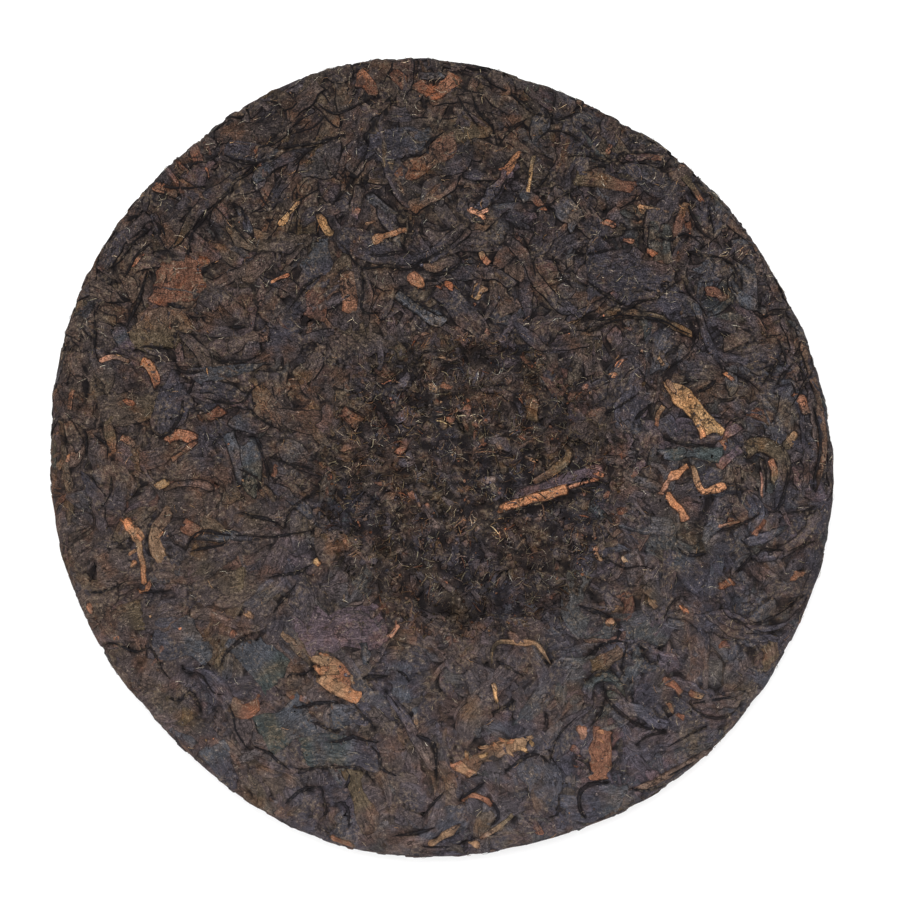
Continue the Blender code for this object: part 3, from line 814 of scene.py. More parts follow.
# %% Leaves in the lower right
SEEN["lower right"] = (
    ((586, 694, 590, 704, 580, 714, 562, 724), 11, "folded", "coal", "earth", 0.4),
    ((587, 698, 591, 682, 605, 675, 617, 684, 626, 698), 13, "rolled", "coal", "teal", 0.55),
    ((607, 690, 622, 706, 644, 714, 668, 730), 15, "twisted", "teal", "coal", 0.55),
    ((603, 727, 601, 752, 600, 781), 21, "flat", "russet", "rust", 0.2),
    ((582, 725, 583, 739), 11, "flat", "rust", "flesh", 0.3),
    ((570, 747, 580, 754), 8, "flat", "russet", "plum", 0.3),
    ((574, 760, 589, 764), 9, "rolled", "plum", "umber", 0.4),
    ((580, 803, 600, 800, 624, 802), 36, "flat", "coal", "slate", 0.25, ("round", "torn")),
    ((650, 598, 657, 609), 7, "flat", "tan", "bark", 0.4),
    ((597, 578, 603, 583), 6, "flat", "rust", "russet", 0.4),
    ((662, 680, 672, 683, 682, 696), 8, "flat", "russet", "bark", 0.2),
    ((687, 692, 708, 698), 8, "flat", "russet", "tan", 0.2),
    ((668, 702, 673, 712), 7, "flat", "rust", "tan", 0.3),
    ((678, 714, 685, 719), 7, "flat", "russet", "russet", 0.25),
    ((768, 640, 772, 668), 18, "flat", "olive", "bark", 0.1),
    ((649, 769, 659, 785), 13, "flat", "plum", "russet", 0.3),
    ((722, 608, 747, 624, 774, 628, 796, 616, 810, 596), 7, "rolled", "coal", "earth", 0.6),
    ((705, 612, 735, 634, 780, 640), 8, "folded", "earth", "coal", 0.35),
    ((591, 669, 606, 660, 623, 650), 17, "flat", "olive", "bark", 0.25),
    ((692, 706, 718, 702, 742, 703), 14, "flat", "earth", "umber", 0.3),
    ((637, 790, 675, 772, 714, 749), 8, "rolled", "bark", "umber", 0.3),
    ((612, 610, 624, 610), 9, "flat", "tan", "bark", 0.3),
    ((681, 604, 687, 614), 7, "flat", "orange", "rust", 0.3),
    ((717, 587, 726, 583, 736, 583), 9, "flat", "rust", "russet", 0.3),
    ((790, 575, 806, 575), 9, "flat", "rust", "bark", 0.3),
)
print("Leaves read so far:", sum(map(len, SEEN.values())))

# %% [markdown]
# A thin bent stem and a few ragged pale leaves lie on smooth dark ones, with a rust block to the right.

# %% Leaves at the bottom
SEEN["bottom"] = (
    ((307, 657, 330, 668, 352, 690), 22, "cupped", "tan", "rust", 0.35),
    ((318, 676, 338, 690, 361, 699), 15, "flat", "tan", "orange", 0.4),
    ((314, 668, 340, 672), 10, "flat", "orange", "tan", 0.45),
    ((491, 668, 495, 645, 516, 642, 537, 645, 552, 666), 7, "rolled", "olive", "tan", 0.6),
    ((361, 641, 365, 652, 368, 662), 12, "rolled", "slate", "slate", 0.5),
    ((386, 691, 407, 721, 436, 770), 12, "folded", "coal", "umber", 0.45),
    ((300, 750, 340, 752, 380, 756), 34, "flat", "teal", "coal", 0.12),
    ((350, 768, 360, 800, 374, 832), 20, "flat", "olive", "umber", 0.15),
    ((466, 767, 488, 756, 507, 746, 530, 741), 17, "flat", "bark", "tan", 0.1),
    ((452, 762, 462, 769, 474, 775), 11, "flat", "rust", "tan", 0.25),
    ((486, 753, 496, 759), 7, "flat", "tan", "orange", 0.3),
    ((500, 738, 513, 741), 5, "flat", "gold", "tan", 0.3),
    ((515, 746, 528, 751), 5, "flat", "tan", "gold", 0.3),
    ((493, 682, 497, 704), 5, "rolled", "tan", "gold", 0.4),
    ((461, 802, 471, 795, 482, 798, 493, 805), 6, "rolled", "rust", "russet", 0.5),
    ((427, 846, 444, 836, 461, 825), 9, "rolled", "tan", "bark", 0.4),
    ((330, 838, 354, 846), 9, "flat", "rust", "bark", 0.3),
    ((470, 842, 480, 846), 8, "flat", "tan", "bark", 0.3),
    ((479, 839, 497, 828, 514, 814), 5, "rolled", "bark", "olive", 0.4),
    ((389, 639, 400, 623), 6, "rolled", "flesh", "rust", 0.5),
    ((298, 636, 345, 630, 386, 622), 40, "flat", "plum", "plum", 0.08),
    ((330, 716, 372, 712), 24, "flat", "slate", "coal", 0.12),
    ((398, 660, 402, 700), 22, "flat", "coal", "slate", 0.12),
)
print("Leaves read so far:", sum(map(len, SEEN.values())))

# %% [markdown]
# The pile is pressed nearly smooth here. The leaves are broad, dark and cool, so they get wide routes that
# stand hardly proud.

# %% Leaves in the lower left
SEEN["lower left"] = (
    ((183, 667, 206, 676, 227, 699, 240, 725, 247, 751), 22, "folded", "coal", "earth", 0.35),
    ((86, 604, 92, 612), 7, "flat", "rust", "russet", 0.3),
    ((136, 590, 146, 591, 151, 581), 6, "rolled", "orange", "rust", 0.4),
    ((229, 704, 244, 712, 261, 702), 16, "flat", "bark", "russet", 0.05),
    ((244, 612, 256, 618), 7, "flat", "tan", "bark", 0.3),
    ((150, 640, 205, 640), 44, "flat", "coal", "slate", 0.08),
    ((240, 640, 280, 680), 40, "flat", "slate", "teal", 0.08),
    ((262, 740, 310, 712), 40, "flat", "teal", "slate", 0.08),
    ((196, 600, 246, 578), 22, "flat", "earth", "olive", 0.1),
    ((110, 628, 142, 612), 30, "flat", "earth", "olive", 0.08),
    ((210, 745, 236, 790), 30, "flat", "slate", "coal", 0.08),
)
print("Leaves read so far:", sum(map(len, SEEN.values())))

# %% [markdown]
# Small orange, rust and tan scraps lie round a dark leaf that is curled on itself.

# %% Leaves on the left
SEEN["left"] = (
    ((140, 361, 149, 366, 158, 388), 13, "cupped", "orange", "rust", 0.4),
    ((124, 399, 135, 406), 8, "flat", "rust", "russet", 0.35),
    ((99, 361, 115, 357, 131, 362), 5, "rolled", "flesh", "bark", 0.45),
    ((197, 418, 210, 416, 224, 409), 13, "flat", "bark", "russet", 0.3),
    ((165, 436, 180, 434, 197, 441), 14, "flat", "rust", "russet", 0.4),
    ((170, 461, 184, 452, 197, 441), 6, "flat", "bark", "russet", 0.3),
    ((119, 436, 128, 440, 136, 447), 9, "flat", "rust", "bark", 0.3),
    ((181, 380, 172, 405, 162, 436), 35, "cupped", "coal", "coal", 0.4, ("torn", "round")),
    ((108, 418, 110, 436, 114, 456), 14, "flat", "olive", "bark", 0.25),
    ((155, 488, 168, 480), 9, "flat", "tan", "gold", 0.4),
    ((72, 388, 69, 412), 7, "flat", "rust", "bark", 0.3),
    ((68, 454, 68, 463), 5, "flat", "orange", "flesh", 0.4),
    ((163, 491, 178, 484, 192, 482, 215, 489), 8, "rolled", "bark", "earth", 0.4),
    ((124, 517, 133, 529, 139, 543), 14, "flat", "orange", "tan", 0.3),
    ((136, 536, 142, 558, 144, 585), 7, "folded", "tan", "orange", 0.35),
    ((171, 509, 160, 524, 156, 541, 163, 561), 13, "flat", "bark", "tan", 0.2),
    ((181, 524, 202, 534), 15, "flat", "russet", "bark", 0.2),
    ((248, 440, 250, 470, 255, 500), 25, "twisted", "slate", "teal", 0.5),
    ((228, 430, 236, 460, 240, 490), 14, "folded", "slate", "coal", 0.4),
    ((176, 330, 194, 345, 211, 370), 18, "folded", "earth", "umber", 0.35),
    ((183, 378, 226, 372, 268, 362), 16, "cupped", "coal", "slate", 0.35),
    ((200, 386, 228, 392, 254, 402), 20, "folded", "coal", "soot", 0.35),
    ((190, 540, 225, 536, 262, 540), 12, "folded", "slate", "coal", 0.35),
    ((264, 478, 300, 505, 322, 530), 12, "folded", "slate", "coal", 0.3),
    ((80, 470, 98, 500, 104, 540), 18, "folded", "coal", "earth", 0.25),
    ((66, 420, 80, 452), 14, "flat", "bark", "earth", 0.2),
)
print("Leaves read so far:", sum(map(len, SEEN.values())))

# %% [markdown]
# Once the tables are read, each leaf is laid like any other, but kept above what it covers. Before them come
# small folded leaves all round the rim, because the outline of the real cake is uneven.

# %% Laying the leaves that were seen
def lay_seen(pixels, width, section, first, second, proud, ends=None):
    """Lays a leaf of the table. Broad flat ones melt into the pile, and slim ones keep a clear edge."""
    route = route_through(face_places(pixels))
    millimetres = width * MM_PER_PIXEL
    lay_leaf(
        knot_bed, section, route, millimetres, (first, second), draw,
        thickness=0.35 + 0.5 * min(proud, 0.6) + (0.35 if section in ("rolled", "twisted") else 0),
        proud=proud, crevice=0.55 if section in ("flat", "cupped") and width > 14 else 0.85,
        ragged=0.12 + 0.35 / max(millimetres, 2), blend=0.1, gap=0.85, stiff=3.0, cover=0.1 + 0.1 * proud,
        ends=ends or (("torn", "torn") if section == "flat" or width > 36 or width < 7 else None),
    )


RIM_LEAVES = 150  # small folded leaves that keep the outline uneven
for turn in draw.uniform(0, math.tau, RIM_LEAVES):
    walk = RIM_WALK - draw.uniform(-1.5, 5)
    length, heading = draw.uniform(2, 7), turn + math.pi / 2 + draw.normal() * 0.6
    bend = draw.normal() * 0.4
    route = curved_route(walk * math.cos(turn), walk * math.sin(turn), length, heading, bend, 0.2, draw)
    tones = pick(WARM_MIX, draw), pick(COOL_MIX, draw)
    width, proud = draw.uniform(1.2, 2.8), draw.uniform(0, 0.6)
    lay_leaf(knot_bed, "folded", route, width, tones, draw, thickness=0.6, proud=proud)
for entries in SEEN.values():
    for entry in entries:
        lay_seen(*entry)
print("Leaves laid by their pixels:", sum(map(len, SEEN.values())))

# %% [markdown]
# Some pale places in the photograph are not one leaf but a knot of small torn bits, strewn about a middle.

# %% Knots of torn bits
TORN_BITS = (
    # the middle and the reach in pixels, the slant in radians, how many bits, and their tones
    ((497, 753), (38, 11), -0.25, 30, ("gold", "tan", "orange", "tan")),
    ((466, 768), (16, 7), 0.4, 6, ("orange", "rust", "tan")),
    ((333, 673), (26, 14), 0.5, 18, ("orange", "rust", "tan", "orange")),
    ((157, 545), (7, 32), 0.1, 14, ("tan", "orange", "bark")),
    ((137, 545), (6, 26), 0.3, 7, ("tan", "orange")),
    ((693, 405), (12, 26), -0.7, 12, ("gold", "tan", "bark")),
    ((147, 372), (8, 13), 0.2, 6, ("orange", "rust")),
    ((178, 436), (14, 8), 0.0, 6, ("rust", "flesh")),
    ((590, 186), (28, 9), 0.3, 10, ("bark", "russet", "tan")),
    ((350, 300), (9, 24), 0.0, 10, ("tan", "russet", "orange")),
    ((600, 752), (10, 26), 0.1, 8, ("rust", "russet", "orange")),
)
for middle, reach, turn, count, tones in TORN_BITS:
    for step in range(count):
        across, along = draw.normal(0, 0.5, 2) * reach
        pixel = (
            middle[0] + across * math.cos(turn) - along * math.sin(turn),
            middle[1] + across * math.sin(turn) + along * math.cos(turn),
        )
        route = curved_route(*on_knot_face(pixel), draw.uniform(1.4, 3.2), draw.uniform(0, 7), 0.6, 0.2, draw)
        width, even_mix = draw.uniform(0.6, 1.3), dict.fromkeys(tones, 1)
        bit_tones = pick(even_mix, draw), pick(even_mix, draw)
        lay_leaf(
            knot_bed, ("flat", "folded")[step % 2], route, width, bit_tones, draw,
            thickness=0.35, proud=0.25, crevice=0.85, blend=0.15, gap=0.85, stiff=3.0, cover=0.12,
        )
print("Small torn bits laid:", sum(count for *_, count, _ in TORN_BITS))

# %% [markdown]
# Between the leaves run dark gaps and cracks. Their middle lines were read from the photograph too. The
# pressed surface sinks along each one, and a thin near-black strip like a leaf edge lies at the bottom of a
# crack as painted shade.

# %% Gaps, and the cracks in the upper left and at the top
GAPS = (
    # the middle line in pixels, width in pixels, depth in millimetres
    ((484, 387, 500, 388, 513, 398, 524, 412, 526, 426), 8, 1.1),
    ((452, 369, 473, 362, 492, 366), 10, 1.1),
    ((378, 402, 383, 413, 390, 426), 8, 0.9),
    ((526, 470, 520, 460, 530, 451, 543, 457, 546, 466), 5, 0.9),
    ((500, 499, 535, 484, 572, 472), 6, 0.8),
    ((500, 521, 540, 506, 578, 494), 7, 0.9),
    ((425, 598, 470, 612, 515, 602), 16, 1.1),
    ((342, 494, 348, 508, 360, 522), 7, 0.8),
    ((560, 545, 585, 550, 606, 566), 6, 0.7),
    ((84, 366, 86, 384, 84, 402, 76, 411), 6, 1.0),
    ((712, 494, 706, 508, 697, 523), 6, 0.9),
    ((634, 292, 658, 288, 676, 276, 690, 254), 4, 0.8),
)
CRACK_WIDTH, CRACK_DEPTH = 3.2, 0.65  # in pixels and in millimetres
CRACKS = {}
CRACKS["upper left"] = (
    (320, 144, 302, 156, 288, 172, 279, 183, 274, 202),
    (320, 142, 297, 145, 277, 149),
    (224, 154, 236, 161, 251, 163, 265, 161, 277, 156),
    (256, 163, 251, 172, 235, 180, 231, 190, 219, 201, 211, 213, 208, 229),
    (211, 211, 195, 229, 190, 240, 188, 263),
    (228, 215, 240, 233, 251, 247),
    (229, 201, 242, 211, 247, 228),
    (258, 186, 261, 197, 270, 208),
    (156, 186, 183, 188, 206, 186),
    (186, 172, 194, 163, 208, 161, 219, 153),
    (154, 210, 154, 220, 163, 229, 165, 238),
    (152, 226, 131, 245, 120, 260, 106, 270),
    (151, 242, 136, 256, 128, 270, 124, 279),
    (147, 272, 140, 295, 131, 320),
    (165, 303, 186, 308),
    (206, 283, 197, 297, 190, 310),
    (320, 276, 303, 288, 297, 299, 288, 310),
)
CRACKS["top"] = (
    (482, 74, 496, 86, 514, 95, 532, 111, 555, 119, 566, 117, 579, 110),
    (473, 95, 477, 110, 487, 120, 493, 129),
    (457, 94, 466, 111, 479, 127),
    (407, 158, 425, 151, 429, 142, 448, 129),
    (500, 144, 511, 129, 530, 117),
    (537, 140, 550, 131, 568, 133, 579, 140),
    (302, 145, 321, 142, 345, 135),
    (316, 102, 327, 110, 339, 113, 359, 104, 371, 97),
    (368, 140, 366, 154, 355, 170, 350, 183, 336, 199, 330, 208),
    (393, 202, 400, 213, 408, 220, 407, 229, 404, 247),
    (336, 240, 346, 249, 361, 267, 389, 266, 407, 270, 423, 261, 443, 251, 461, 235, 466, 226),
    (370, 254, 380, 255, 396, 252, 411, 252),
    (489, 208, 493, 199, 500, 192, 505, 181, 520, 177),
    (532, 209, 550, 204, 564, 194, 580, 186),
    (536, 194, 539, 186, 550, 172),
    (505, 236, 521, 236, 530, 252, 539, 286, 554, 299, 568, 311, 580, 320),
    (555, 260, 562, 276, 575, 290),
    (393, 288, 407, 294, 425, 308, 443, 319),
    (362, 269, 363, 290, 362, 311, 380, 313),
    (430, 277, 452, 270, 461, 261, 459, 254),
)
print("Cracks read so far:", sum(map(len, CRACKS.values())))

# %% Cracks in the upper right and on the right
CRACKS["upper right"] = (
    (567, 156, 587, 156, 614, 160, 621, 153, 631, 152, 662, 153),
    (621, 162, 639, 162, 662, 164),
    (569, 131, 581, 140, 596, 153),
    (619, 231, 640, 228, 656, 226),
    (576, 253, 592, 253, 614, 249),
    (653, 235, 671, 240, 685, 233, 696, 239, 706, 249),
    (685, 251, 703, 255, 721, 258, 735, 265),
    (683, 278, 667, 289, 656, 298, 635, 301, 628, 308),
    (628, 307, 612, 298, 599, 290, 587, 281),
    (560, 299, 571, 310, 583, 321),
    (731, 280, 733, 290, 746, 299, 762, 310),
    (735, 249, 735, 258, 744, 264, 753, 269),
    (685, 196, 692, 212, 701, 231, 712, 239),
    (708, 203, 712, 221, 714, 239),
    (683, 278, 689, 292, 701, 306, 708, 319),
)
CRACKS["right"] = (
    (587, 334, 607, 323, 626, 318, 648, 318, 664, 321, 680, 330, 696, 336),
    (580, 314, 598, 320, 616, 316, 634, 305, 651, 300),
    (666, 370, 680, 361, 691, 350, 696, 336),
    (698, 393, 709, 386, 719, 377),
    (728, 371, 746, 379, 762, 393),
    (760, 388, 776, 366, 782, 352),
    (776, 386, 782, 377, 794, 363),
    (780, 341, 785, 354, 787, 364),
    (607, 413, 626, 402, 639, 393),
    (634, 420, 644, 411, 651, 405),
    (659, 436, 673, 441, 687, 446, 701, 446),
    (743, 414, 734, 421, 728, 429),
    (785, 455, 787, 479, 782, 502, 775, 512, 766, 511),
    (764, 457, 766, 471, 766, 493),
    (817, 505, 805, 511, 789, 512),
    (812, 400, 819, 425, 821, 452, 814, 482, 817, 495),
    (812, 350, 814, 371, 807, 380, 791, 407),
    (676, 546, 685, 554, 694, 555, 709, 553),
    (716, 532, 734, 527, 750, 520, 759, 514),
    (739, 537, 750, 550, 751, 557, 741, 568, 734, 573),
    (762, 548, 791, 550, 817, 541),
    (596, 555, 612, 562, 625, 568, 642, 566, 655, 570),
)
print("Cracks read so far:", sum(map(len, CRACKS.values())))

# %% Cracks in the lower right and at the bottom
CRACKS["lower right"] = (
    (722, 606, 726, 615, 739, 622, 756, 624, 774, 617, 792, 606, 806, 596),
    (664, 619, 669, 608, 681, 596, 689, 599),
    (578, 605, 596, 612, 614, 619),
    (583, 660, 599, 647, 614, 641, 627, 644, 624, 656, 622, 671, 631, 681),
    (640, 646, 644, 655, 649, 662, 657, 664, 660, 651, 667, 644),
    (587, 681, 596, 672, 606, 671, 617, 676),
    (603, 681, 606, 696, 617, 710, 631, 721, 646, 728, 667, 731),
    (605, 699, 601, 712, 590, 728),
    (637, 744, 649, 736, 667, 733),
    (690, 705, 696, 703, 714, 700, 731, 698, 742, 703),
    (692, 708, 703, 715, 715, 719, 728, 717, 740, 708),
    (665, 749, 683, 739, 708, 726),
    (664, 778, 685, 769, 703, 756),
    (587, 821, 580, 810, 580, 794, 589, 785, 610, 783),
    (601, 797, 614, 799),
    (631, 789, 649, 792, 667, 787),
    (574, 758, 589, 765, 590, 774),
    (619, 622, 619, 637, 608, 644),
)
CRACKS["bottom"] = (
    (385, 692, 393, 700, 407, 721, 414, 734, 434, 745, 436, 771, 437, 782),
    (396, 670, 405, 675, 409, 683),
    (354, 704, 362, 714, 371, 723, 376, 732),
    (359, 680, 371, 677, 389, 676),
    (300, 709, 314, 704, 339, 703),
    (311, 722, 320, 725, 327, 729, 339, 733),
    (327, 743, 339, 741, 354, 736, 361, 739, 379, 743),
    (371, 746, 379, 755, 380, 766, 389, 773, 400, 777),
    (300, 771, 311, 768, 348, 767, 361, 768, 375, 784),
    (345, 768, 350, 777, 345, 789),
    (300, 793, 320, 787, 323, 796, 326, 811, 323, 820),
    (335, 804, 343, 803, 348, 811, 349, 830),
    (420, 821, 432, 805, 445, 791),
    (389, 837, 407, 835, 423, 832, 436, 827),
    (422, 847, 432, 848, 450, 848, 464, 844, 479, 837),
    (457, 802, 470, 793, 486, 782),
    (489, 798, 498, 809, 498, 820, 491, 826),
    (452, 761, 451, 754, 457, 746),
    (489, 714, 511, 705, 514, 698),
    (495, 661, 505, 665, 514, 671, 525, 677),
    (580, 714, 564, 729, 555, 743, 550, 761),
    (504, 773, 520, 761, 530, 755, 539, 755, 550, 764),
    (546, 713, 547, 729),
    (559, 793, 558, 814, 548, 818),
)
print("Cracks read so far:", sum(map(len, CRACKS.values())))

# %% Cracks in the lower left and on the left
CRACKS["lower left"] = (
    (103, 647, 111, 643, 136, 652, 149, 648, 154, 653, 163, 671, 170, 679),
    (181, 665, 188, 675, 199, 673, 206, 681, 214, 693, 226, 695),
    (228, 703, 233, 717, 236, 731, 245, 746, 251, 751),
    (252, 746, 269, 753, 279, 762, 292, 772),
    (167, 698, 179, 701, 190, 692, 197, 701, 201, 714),
    (286, 681, 290, 674, 302, 675, 310, 671, 319, 665),
    (267, 578, 288, 574, 299, 573, 313, 563),
    (272, 614, 283, 599, 297, 583),
    (85, 592, 99, 592, 111, 589, 126, 581),
    (88, 583, 94, 571, 94, 560),
    (140, 593, 154, 592, 167, 591),
    (220, 667, 224, 656, 233, 646, 251, 633),
    (294, 708, 308, 705, 320, 703),
    (283, 806, 294, 796, 304, 789, 315, 787),
    (295, 774, 304, 771, 315, 768),
    (247, 790, 256, 803),
)
CRACKS["left"] = (
    (127, 327, 131, 316, 136, 304),
    (94, 307, 95, 327, 94, 345, 97, 359),
    (135, 350, 147, 346, 169, 350),
    (174, 359, 179, 370, 192, 373, 204, 371),
    (211, 357, 229, 362, 251, 359, 263, 352),
    (181, 377, 194, 382, 183, 400, 181, 414, 170, 432, 161, 437, 151, 432),
    (201, 396, 219, 402, 242, 402, 252, 389, 263, 382),
    (242, 402, 254, 414, 270, 425, 281, 430),
    (254, 436, 261, 452, 267, 470, 269, 484),
    (236, 468, 247, 473, 258, 479, 258, 493),
    (240, 512, 251, 516, 270, 520, 285, 529),
    (285, 529, 288, 514, 297, 504, 315, 493),
    (186, 550, 192, 537, 204, 530, 222, 534, 251, 536),
    (188, 552, 204, 548, 222, 545, 229, 539),
    (251, 536, 272, 537, 290, 534, 315, 530),
    (169, 546, 169, 561),
    (131, 471, 138, 480, 147, 482),
    (101, 509, 108, 498, 111, 487, 111, 475),
    (83, 430, 86, 436, 86, 454),
    (108, 457, 106, 445, 92, 434),
    (269, 457, 290, 464, 315, 470),
    (228, 327, 245, 327),
    (283, 355, 281, 368, 272, 371),
    (295, 313, 306, 319, 320, 320),
)
print("Cracks read so far:", sum(map(len, CRACKS.values())))

# %% [markdown]
# A gap or crack is a distance field: each square of the bed takes its distance to the nearest stretch of the
# route, and sinks by a soft step of it. A line drawn in the colour alone would vanish from the side.

# %% Sinking the surface along them
def sink_along(bed, route, half, most):
    """Deepens the bed's creases along a route."""
    nearest = np.full_like(bed.height, 1e9)
    for start, end in zip(route, route[1:]):
        reach = end - start
        x, y = bed.x - start[0], bed.y - start[1]
        share = np.clip((x * reach[0] + y * reach[1]) / (reach @ reach), 0, 1)
        nearest = np.minimum(nearest, (x - share * reach[0]) ** 2 + (y - share * reach[1]) ** 2)
    bed.creased = np.maximum(bed.creased, most * smooth_step(1.4 - np.sqrt(nearest) / half))


dome_bed.creased, knot_bed.creased = np.zeros_like(dome_bed.height), np.zeros_like(knot_bed.height)
for pixels, width, most in GAPS:
    sink_along(knot_bed, np.array(face_places(pixels)), width * MM_PER_PIXEL / 2 + 0.3, most)
crack_across = CRACK_WIDTH * MM_PER_PIXEL
for pixels in sum(CRACKS.values(), ()):
    places = face_places(pixels)
    sink_along(knot_bed, np.array(places), crack_across / 2 + 0.15, CRACK_DEPTH)
    # Painted shade: a near-black strip, at a third of the soot tone's lightness, lies in each crack.
    shade_sliver = lay_leaf(
        knot_bed, "rolled", route_through(places), crack_across * draw.uniform(0.7, 1.2),
        ("soot", "soot"), draw,
        thickness=0.3, proud=0, crevice=1.0, ends=("pointed", "pointed"), ragged=0.35, light=0.35, blend=0,
        gap=1.5, stiff=1.0, cover=0.03,
    )
    shade_sliver.section = "shade_sliver"
print("Gaps and cracks laid:", len(GAPS) + sum(map(len, CRACKS.values())))

# %% [markdown]
# The dimple's floor was never under the stone. It is a loose felt of broken leaf, so it gets small flakes
# that lie at every height, with a few stems on top of them.

# %% Broken leaf in the dimple
FLAKE_MIX = {"soot": 24, "coal": 14, "earth": 24, "umber": 14, "olive": 9, "bark": 9, "russet": 6, "tan": 1}
FLAKE_SPACING = 2.25
felt_places = waves(4, tone_draw)
FELT_PATCHES = (
    # a patch that stands out: its middle and half sizes in pixels, and how light and how warm it is
    # the darkest patches paint shade on the dimple's upper and lower walls; the others are the felt's own
    # colour
    ((470, 608), (62, 20), 0.5, 0.1),
    ((596, 432), (18, 34), 0.7, 0.4),
    ((334, 516), (16, 34), 0.7, 0.4),
    ((392, 540), (26, 20), 0.8, 0.0),
    ((395, 590), (22, 16), 0.8, 0.5),
    ((470, 455), (14, 12), 0.8, -0.3),
    ((458, 522), (34, 20), 1.25, 0.5),
    ((404, 432), (26, 26), 1.2, 0.5),
    ((566, 604), (34, 24), 0.6, -0.1),
    ((473, 363), (22, 8), 0.45, 0.1),
    ((503, 405), (22, 17), 0.75, 0.0),
    ((383, 413), (9, 12), 0.5, 0.0),
    ((532, 465), (22, 12), 0.6, 0.0),
    ((520, 560), (46, 26), 0.8, -0.2),
    ((442, 466), (16, 10), 0.9, -0.4),
    ((535, 410), (13, 17), 1.35, 0.5),
    ((449, 421), (12, 10), 1.3, 0.9),
    ((405, 435), (14, 9), 1.2, 0.7),
    ((353, 428), (16, 14), 1.15, 0.6),
    ((386, 366), (26, 14), 0.55, 0.5),
    ((444, 388), (9, 7), 1.3, 0.9),
    ((440, 502), (18, 9), 1.2, 0.6),
    ((500, 527), (22, 10), 1.3, 0.6),
    ((352, 470), (18, 26), 1.1, 0.5),
    ((556, 374), (30, 24), 0.65, 0.4),
    ((470, 420), (30, 16), 1.15, 0.4),
)


patch_places = np.array([on_knot_face(pixel) for pixel, *_ in FELT_PATCHES])
patch_sizes = np.array([sizes for _, sizes, *_ in FELT_PATCHES]) * MM_PER_PIXEL
patch_light, patch_warmth = (np.array([patch[column] for patch in FELT_PATCHES]) for column in (2, 3))


def felt_tone_and_shade(x, y):
    """How light and warm the felt is at a place: its own patches, painted shade in the darkest ones on the
    dimple's walls, and a darker, warmer ring at the lip.
    """
    share = smooth_step(1.25 - np.hypot(*((np.array((x, y)) - patch_places) / patch_sizes).T))
    light = (1 + 0.75 * felt_places(x, y)) * np.prod(np.maximum(1 + 1.7 * share * (patch_light - 1), 0.3))
    edge = smooth_step(1.2 - abs(from_dimple(x, y) - DIMPLE_RADIUS + 1.5) / 4)
    light = light * (1 - 0.35 * edge)
    warmth = 0.35 * felt_places(y + 40, x) + np.sum(share * patch_warmth) + 0.4 * edge
    return light * np.array((1 + 0.2 * warmth, 1.0, 1 - 0.2 * warmth))


IN_DIMPLE = (
    ((480, 387, 502, 392, 521, 405, 525, 424), 9, "folded", "earth", "coal", 0.7),
    ((380, 411, 382, 420, 387, 426), 8, "folded", "coal", "earth", 0.5),
    ((527, 396, 533, 408, 534, 422), 15, "flat", "bark", "olive", 0.5),
    ((439, 385, 452, 386), 8, "flat", "rust", "russet", 0.6),
    ((447, 419, 456, 419), 8, "flat", "rust", "russet", 0.6),
    ((398, 417, 418, 424), 12, "flat", "russet", "earth", 0.4),
    ((340, 412, 362, 425), 16, "flat", "russet", "bark", 0.3),
    ((524, 457, 532, 460, 540, 464), 6, "flat", "bark", "tan", 0.6),
    ((532, 483, 549, 474, 567, 459, 569, 449, 558, 441), 9, "rolled", "bark", "olive", 1.2),
    ((509, 502, 535, 490, 566, 479, 605, 469), 13, "rolled", "plum", "plum", 1.2),
    ((497, 511, 514, 505, 534, 499, 552, 493, 569, 488), 11, "flat", "orange", "orange", 1.8),
    ((569, 488, 585, 483, 600, 479), 4, "flat", "rust", "rust", 1.6),
    ((597, 472, 604, 475), 6, "flat", "rust", "rust", 1.6),
    ((596, 545, 597, 556, 603, 561), 5, "flat", "rust", "tan", 0.6),
    ((622, 556, 627, 563), 4, "flat", "tan", "hair", 0.6),
    ((313, 560, 321, 566), 8, "cupped", "gold", "orange", 0.6),
    ((608, 620, 612, 626), 8, "flat", "rust", "tan", 0.5),
)
for x, y in np.add(list(spread_places(FLAKE_SPACING, DIMPLE_RADIUS + 2.5, draw)), DIMPLE_CENTRE):
    length = draw.uniform(1.5, 7.5) * draw.uniform(0.4, 1)
    route = curved_route(x, y, length, draw.uniform(0, 7), 0.6, 0.3, draw)
    tones = pick(FLAKE_MIX, draw), pick(FLAKE_MIX, draw)
    flake = lay_leaf(
        knot_bed, pick(SLIM_SECTIONS, draw), route, draw.uniform(0.5, 2.4), tones, draw, gap=1.0, stiff=1.0,
        thickness=draw.uniform(0.3, 1.0), proud=draw.uniform(0, 0.5), ragged=0.35, crevice=0.55, blend=0.3,
        light=felt_tone_and_shade(route[10, 0], route[10, 1]),
    )
    flake.section = "flake"
for entry in IN_DIMPLE:
    lay_seen(*entry)

# %% [markdown]
# The whole pile is pressed. Each point is measured against the mean height of the pile around it. What
# stands above that mean is squeezed, as under the stone, and what lies below it keeps most of its depth. The
# squeeze never changes the order of two heights, so a leaf that lay on top still does. In the dimple, where
# only the knot pressed, it is gentler.

# %% Pressing the pile
PRESS_WINDOW = 8.0
MOST_PROUD = 0.95
MOST_PROUD_IN_DIMPLE = 1.5
MOST_DEEP = 1.6
FELT_BUMPS = 0.45


def inside_dimple(x, y):
    """1 in the dimple and 0 outside it, softened over 8 mm."""
    return smooth_step((DIMPLE_RADIUS - from_dimple(x, y)) / 8)


felt_bumps = FELT_BUMPS * waves(3.0, tone_draw)(knot_bed.x, knot_bed.y)
knot_bed.creased += felt_bumps * inside_dimple(knot_bed.x, knot_bed.y)


